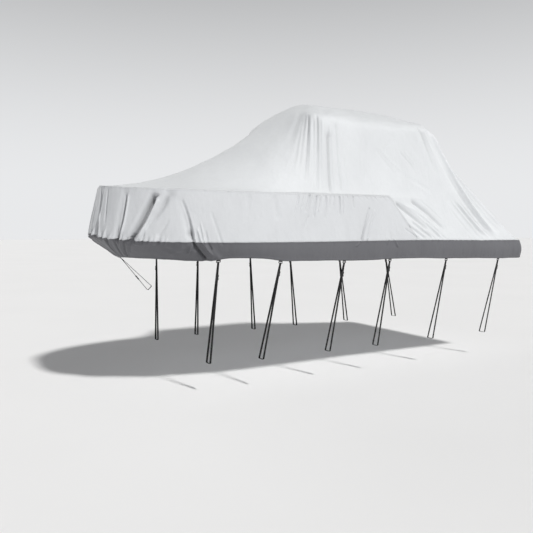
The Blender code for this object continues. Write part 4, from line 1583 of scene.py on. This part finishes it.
@dataclass(frozen=True)
class HemPlace:
    """A place on the hem inside the cloth, and its directions."""

    hem: np.ndarray
    run: np.ndarray
    up: np.ndarray
    out: np.ndarray

    @classmethod
    def at(cls, drape: Drape, edge: float, side: Side) -> "HemPlace":
        """Finds the place.

        Args:
            drape: The cloth.
            edge: The edge that the place lies at.
            side: The side of the boat.

        Returns:
            The place.
        """
        low, high = (drape.outline([edge], [level], side)[0] for level in (0.0, 0.5))
        run = np.array([0.0, side.value, 0.0])
        if edge > 0:
            before, after = (drape.outline([edge + s], [0.0], side)[0] for s in (-0.004, 0.004))
            run = unit(after - before)
        up = unit(high - low)
        return cls(low, run, up, side.value * unit(np.cross(up, run)))


@dataclass
class TieDown:
    """One webbing strap with its loop and buckle."""

    label: str
    place: HemPlace
    feet: tuple[np.ndarray, np.ndarray]
    foot_across: np.ndarray
    buckle_at: float
    webbing: bpy.types.Material
    plastic: bpy.types.Material

    cloth: float = 0.002
    loop_gap: float = 0.0025
    web_width: float = 0.025
    web_thickness: float = 0.002
    web_step: float = 0.03
    foot_rounding: float = 0.012
    loop_width: float = 0.052
    loop_tail: float = 0.040
    loop_drop: float = 0.034
    loop_slot: tuple[float, float] = (0.034, 0.012)
    loop_bar: float = 0.007
    bar_gap: float = 0.0004
    strap_drop: float = 0.004
    seam_gap: float = 0.0003
    buckle_length: float = 0.062
    buckle_width: float = 0.040
    buckle_thickness: float = 0.011
    loop_bevel: float = 0.0006
    buckle_bevel: float = 0.0009

    # The loop's grid has five squares each way, and its slot takes three in the second row
    LOOP_SQUARES = 5

    @property
    def behind(self) -> np.ndarray:
        """The middle of the loop's webbing, level with the hem."""
        inward = self.cloth + self.loop_gap + self.web_thickness / 2
        return self.place.hem - self.place.out * inward

    def turn_under(self, start: np.ndarray, end: np.ndarray) -> list[np.ndarray]:
        """The route down to one foot, across to the other and up again, with round corners.

        Args:
            start: Where it starts.
            end: Where it ends.

        Returns:
            The route's points.
        """
        outer, inner = self.feet
        route = [start]
        for before, corner, after in ((start, inner, outer), (inner, outer, end)):
            into, away = unit(before - corner), unit(after - corner)
            for share in (0.0, 0.3, 0.7, 1.0):
                near = corner + into * self.foot_rounding * (1 - share)
                far = corner + away * self.foot_rounding * share
                route.append(near + (far - near) * share)
        return route + [end]

    def route(self) -> tuple[np.ndarray, np.ndarray, np.ndarray, np.ndarray]:
        """Works out the strap's line.

        Returns:
            The route's points, the direction of its width at each, the buckle's middle and the
            way down from there.
        """
        place = self.place
        bar = self.behind - place.up * (self.loop_drop - self.loop_bar)
        clear = self.web_thickness + self.bar_gap
        ways = [place.out * np.cos(t) + place.up * np.sin(t) for t in np.linspace(0, np.pi, 5)]
        over = [bar + clear * way for way in ways]
        below = place.up * (self.loop_bar + self.strap_drop)
        outer, inner = over[0] - below, over[-1] - below
        down = unit(self.feet[0] - outer)
        reach = self.buckle_length / 2 + self.seam_gap
        buckle = outer + down * self.buckle_at
        first = [buckle - down * reach, outer, *over, inner]
        last = self.turn_under(inner, buckle + down * reach)
        points = np.array(first + last[1:])
        share = np.clip((np.arange(len(points)) - len(first) + 1) / 2, 0, 1)
        share[-1] = 0.0
        across = np.array([unit(place.run * (1 - s) + self.foot_across * s) for s in share])
        return points, across, buckle, down

    def strap(self, points: np.ndarray, across: np.ndarray) -> bpy.types.Object:
        """Makes the strap's webbing.

        Args:
            points: The route.
            across: The direction of its width at each point.

        Returns:
            The piece.
        """
        ruler = ruler_of(points)
        extra = np.arange(0.02, ruler[-1], self.web_step)
        extra = extra[np.abs(extra[:, None] - ruler).min(1) > 0.004]
        at = np.unique(np.concatenate([ruler, extra]))
        line, wide = walk(at, ruler, points), walk(at, ruler, across)
        bm = bmesh.new()
        bmesh.ops.create_grid(bm, x_segments=4, y_segments=len(at) - 1, size=0.5)
        flat = np.array([vert.co for vert in bm.verts]) + 0.5
        row = np.rint(flat[:, 1] * (len(at) - 1)).astype(int)
        offset = (flat[:, 0] - 0.5) * self.web_width
        Piece.shape(bm, line[row] + wide[row] * offset[:, None], along=at[row], across=offset)
        bmesh.ops.recalc_face_normals(bm, faces=bm.faces)
        piece = Piece.make(f"webbing_{self.label}", bm, self.webbing)
        Piece.thicken(piece, self.web_thickness, 0.0)
        Piece.attach(piece, "webbing", f"strap_{self.label}")
        return piece

    def loop(self) -> bpy.types.Object:
        """Makes the sewn tab under the hem, with the slot that the strap passes through.

        Returns:
            The piece.
        """
        bm, squares = bmesh.new(), self.LOOP_SQUARES
        bmesh.ops.create_grid(bm, x_segments=squares, y_segments=squares, size=0.5)
        half, slot = self.loop_width / 2, self.loop_slot[0] / 2
        low = self.loop_bar - self.loop_drop
        xs = np.array((-half, -slot, -slot / 3, slot / 3, slot, half))
        ys = np.array(
            (-self.loop_drop, low, low + self.loop_slot[1], 0.0, self.loop_tail / 2, self.loop_tail)
        )
        middles = {face: face.calc_center_median() for face in bm.faces}
        cut = [face for face, at in middles.items() if abs(at.x) < 0.35 and -0.35 < at.y < -0.15]
        bmesh.ops.delete(bm, geom=cut, context="FACES")
        flat = np.rint((np.array([vert.co for vert in bm.verts]) + 0.5) * squares).astype(int)
        across, along = xs[flat[:, 0]], ys[flat[:, 1]]
        places = self.behind + np.outer(across, self.place.run) + np.outer(along, self.place.up)
        Piece.shape(bm, places, along=along, across=across / 2)
        bmesh.ops.recalc_face_normals(bm, faces=bm.faces)
        piece = Piece.make(f"sewn_loop_{self.label}", bm, self.webbing)
        Piece.thicken(piece, self.web_thickness, 0.0)
        Piece.bevel(piece, self.loop_bevel)
        Piece.attach(piece, "webbing", f"loop_{self.label}")
        return piece

    def buckle(self, centre: np.ndarray, down: np.ndarray) -> bpy.types.Object:
        """Makes the side-release buckle: a body with a waist, side prongs and ribs for the fingers.

        Args:
            centre: The buckle's middle.
            down: The way from its female end to its clip.

        Returns:
            The piece.
        """
        bm = bmesh.new()
        bmesh.ops.create_cube(bm, size=1.0)
        for axis, cuts in ((1, 23), (0, 7)):
            long = [e for e in bm.edges if abs(e.verts[0].co[axis] - e.verts[1].co[axis]) > 0.5]
            bmesh.ops.subdivide_edges(bm, edges=long, cuts=cuts)
        x, y, z = np.array([vert.co for vert in bm.verts]).T
        width, thick = (BUCKLE.curve("place", column, y) for column in ("width", "thickness"))
        window = np.exp(-(((y - 0.05) / 0.10) ** 4)) * np.exp(-((x / 0.30) ** 6))
        ribs = 0.05 * np.sin(y * 2 * np.pi * 14) * fade((abs(y) - 0.30) / 0.05)
        crown = 1 - 0.25 * (2 * abs(x)) ** 4
        z = z * self.buckle_thickness * thick * crown * (1 - 0.35 * window + ribs)
        sizes = (x * self.buckle_width * width, y * self.buckle_length, z)
        ways = (self.place.run, down, unit(np.cross(self.place.run, down)))
        Piece.shape(bm, centre + sum(np.outer(size, way) for size, way in zip(sizes, ways)))
        bmesh.ops.recalc_face_normals(bm, faces=bm.faces)
        piece = Piece.make(f"side_release_buckle_{self.label}", bm, self.plastic)
        edges = Piece.bevel(piece, self.buckle_bevel)
        edges.limit_method = "ANGLE"
        edges.angle_limit = math.radians(50)
        Piece.attach(piece, "buckle", f"buckle_{self.label}")
        return piece

    def build(self) -> list[bpy.types.Object]:
        """Returns:
            The three pieces.
        """
        points, across, centre, down = self.route()
        strap = self.strap(points, across)
        buckle = self.buckle(centre, down)
        loop = self.loop()
        return [strap, buckle, loop]


@dataclass
class TieDowns:
    """Every strap: six a side, and one at the bow."""

    drape: Drape
    rail_underside: float = 0.35
    rail_width: float = 0.10
    bow_foot_x: float = -2.89
    bow_foot_height: float = 1.15
    bow_post_depth: float = 0.05
    bow_buckle: float = 0.30

    def build(self) -> list[bpy.types.Object]:
        """Makes them all.

        Returns:
            Their pieces.
        """
        materials = WebbingFinish().material(), PlasticFinish().material()
        ground, pieces = self.drape.form.ground, []
        for side in Side:
            for row in STRAPS.rows:
                place = HemPlace.at(self.drape, self.drape.edge_at_hem(row["x"]), side)
                z = self.rail_underside + ground
                ys = (side.value * (row["foot_y"] + out) for out in (self.rail_width, 0.0))
                feet = tuple(np.array([row["foot_x"], y, z]) for y in ys)
                across = np.array([np.sign(place.run[0]), 0.0, 0.0])
                label = f"{side.word}_{row['number']}"
                pieces += TieDown(label, place, feet, across, row["buckle"], *materials).build()
        place = HemPlace.at(self.drape, 0.0, Side.PORT)
        z = self.bow_foot_height + ground
        backs = (0.0, self.bow_post_depth)
        feet = tuple(np.array([self.bow_foot_x + back, 0.0, z + back]) for back in backs)
        bow = TieDown("bow", place, feet, place.run, self.bow_buckle, *materials)
        return pieces + bow.build()


# --- The studio ---


@dataclass
class Studio:
    """The camera, the floor and soft light."""

    ground: float
    camera_place: tuple[float, float, float] = (-5.395, -7.30, 1.91)
    heading: float = -30.13
    lens: float = 40.53
    shift_up: float = -0.0685
    sun_strength: float = 2.95
    sun_angle: float = 5.0
    fill_strength: float = 0.7
    sun_from: tuple[float, float, float] = (0.16, -0.74, 0.92)
    fill_from: tuple[float, float, float] = (-0.2, 0.9, 0.35)
    fill_angle: float = 40.0
    sky_tint: tuple[float, float, float] = (0.975, 0.985, 1.0)
    horizon: float = 0.83
    zenith: float = 0.10

    def camera(self) -> None:
        """Makes the camera, level and at standing height."""
        data = bpy.data.cameras.new("camera")
        data.lens = self.lens
        data.sensor_width = 36.0
        data.shift_y = self.shift_up
        data.clip_end = 300.0
        camera = bpy.data.objects.new("camera", data)
        x, y, height = self.camera_place
        camera.location = (x, y, height + self.ground)
        camera.rotation_euler = (math.pi / 2, 0.0, math.radians(self.heading))
        bpy.context.scene.collection.objects.link(camera)
        bpy.context.scene.camera = camera

    def sun(
        self, name: str, strength: float, angle: float, source: tuple[float, float, float]
    ) -> None:
        """Makes a soft lamp, far away.

        Args:
            name: The lamp's name.
            strength: Its strength.
            angle: How wide it looks, in degrees.
            source: The direction that it shines from.
        """
        data = bpy.data.lights.new(name, "SUN")
        data.energy = strength
        data.angle = math.radians(angle)
        data.color = (1.0, 0.992, 0.975)
        lamp = bpy.data.objects.new(name, data)
        lamp.rotation_euler = (-Vector(source)).to_track_quat("-Z", "Y").to_euler()
        bpy.context.scene.collection.objects.link(lamp)

    def sky(self) -> None:
        """Makes the sky, brightest at the horizon."""
        world = bpy.data.worlds.new("soft sky")
        nodes = Nodes(world)
        up = nodes.add("ShaderNodeTexCoord", {}, {}, "Generated")
        height = nodes.add("ShaderNodeSeparateXYZ", {}, {0: up}, "Z")
        low, high = (shade(self.sky_tint, level) for level in (self.horizon, self.zenith))
        nodes.feed(nodes.shader.inputs["Color"], nodes.blend(height.ramp(0.05, 0.75), low, high))
        bpy.context.scene.world = world

    def floor(self) -> None:
        """Makes the floor, wide enough to fill every view."""
        bm = bmesh.new()
        bmesh.ops.create_grid(bm, x_segments=4, y_segments=4, size=120.0)
        bmesh.ops.translate(bm, verts=bm.verts, vec=(0.0, 0.0, self.ground))
        floor = Piece.make("floor", bm, FloorFinish().material())

    def build(self) -> None:
        """Makes the whole studio."""
        self.floor()
        self.sky()
        self.sun("key", self.sun_strength, self.sun_angle, self.sun_from)
        self.sun("fill", self.fill_strength, self.fill_angle, self.fill_from)
        view = bpy.context.scene.view_settings
        view.view_transform = "Standard"
        view.look = "None"


# --- Everything ---


def main() -> None:
    """Builds the cover and the studio round it."""
    logging.basicConfig(level=logging.INFO, format="%(name)s: %(message)s")
    drape = Drape()
    studio = Studio(drape.form.ground)
    studio.camera()
    pieces = TieDowns(drape).build()
    thread = (0.55, 0.56, 0.57)
    white = ClothFinish("white polyester", (0.635, 0.651, 0.668), thread)
    grey = ClothFinish("light grey polyester", (0.570, 0.583, 0.602), thread, soil=0.25)
    dark = ClothFinish(
        "dark grey polyester", (0.127, 0.128, 0.139), (0.06, 0.06, 0.065), roughness=0.60, soil=0.4
    )
    panels = [
        TopPanel("top_panel_cloth", drape, white, "top_cloth", 300, 62),
        SidePanel("port_curtain", drape, grey, "side_cloth", 520, 50, side=Side.PORT),
        SidePanel("starboard_curtain", drape, grey, "side_cloth", 520, 50, side=Side.STARBOARD),
        SkirtBand("skirt_band_cloth", drape, dark, "band_cloth", 760, 30),
    ]
    for piece in pieces + [panel.build() for panel in panels]:
        LOG.info("%s, %d faces", piece.name, len(piece.data.polygons))
    studio.build()
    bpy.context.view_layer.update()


if __name__ == "__main__":
    main()
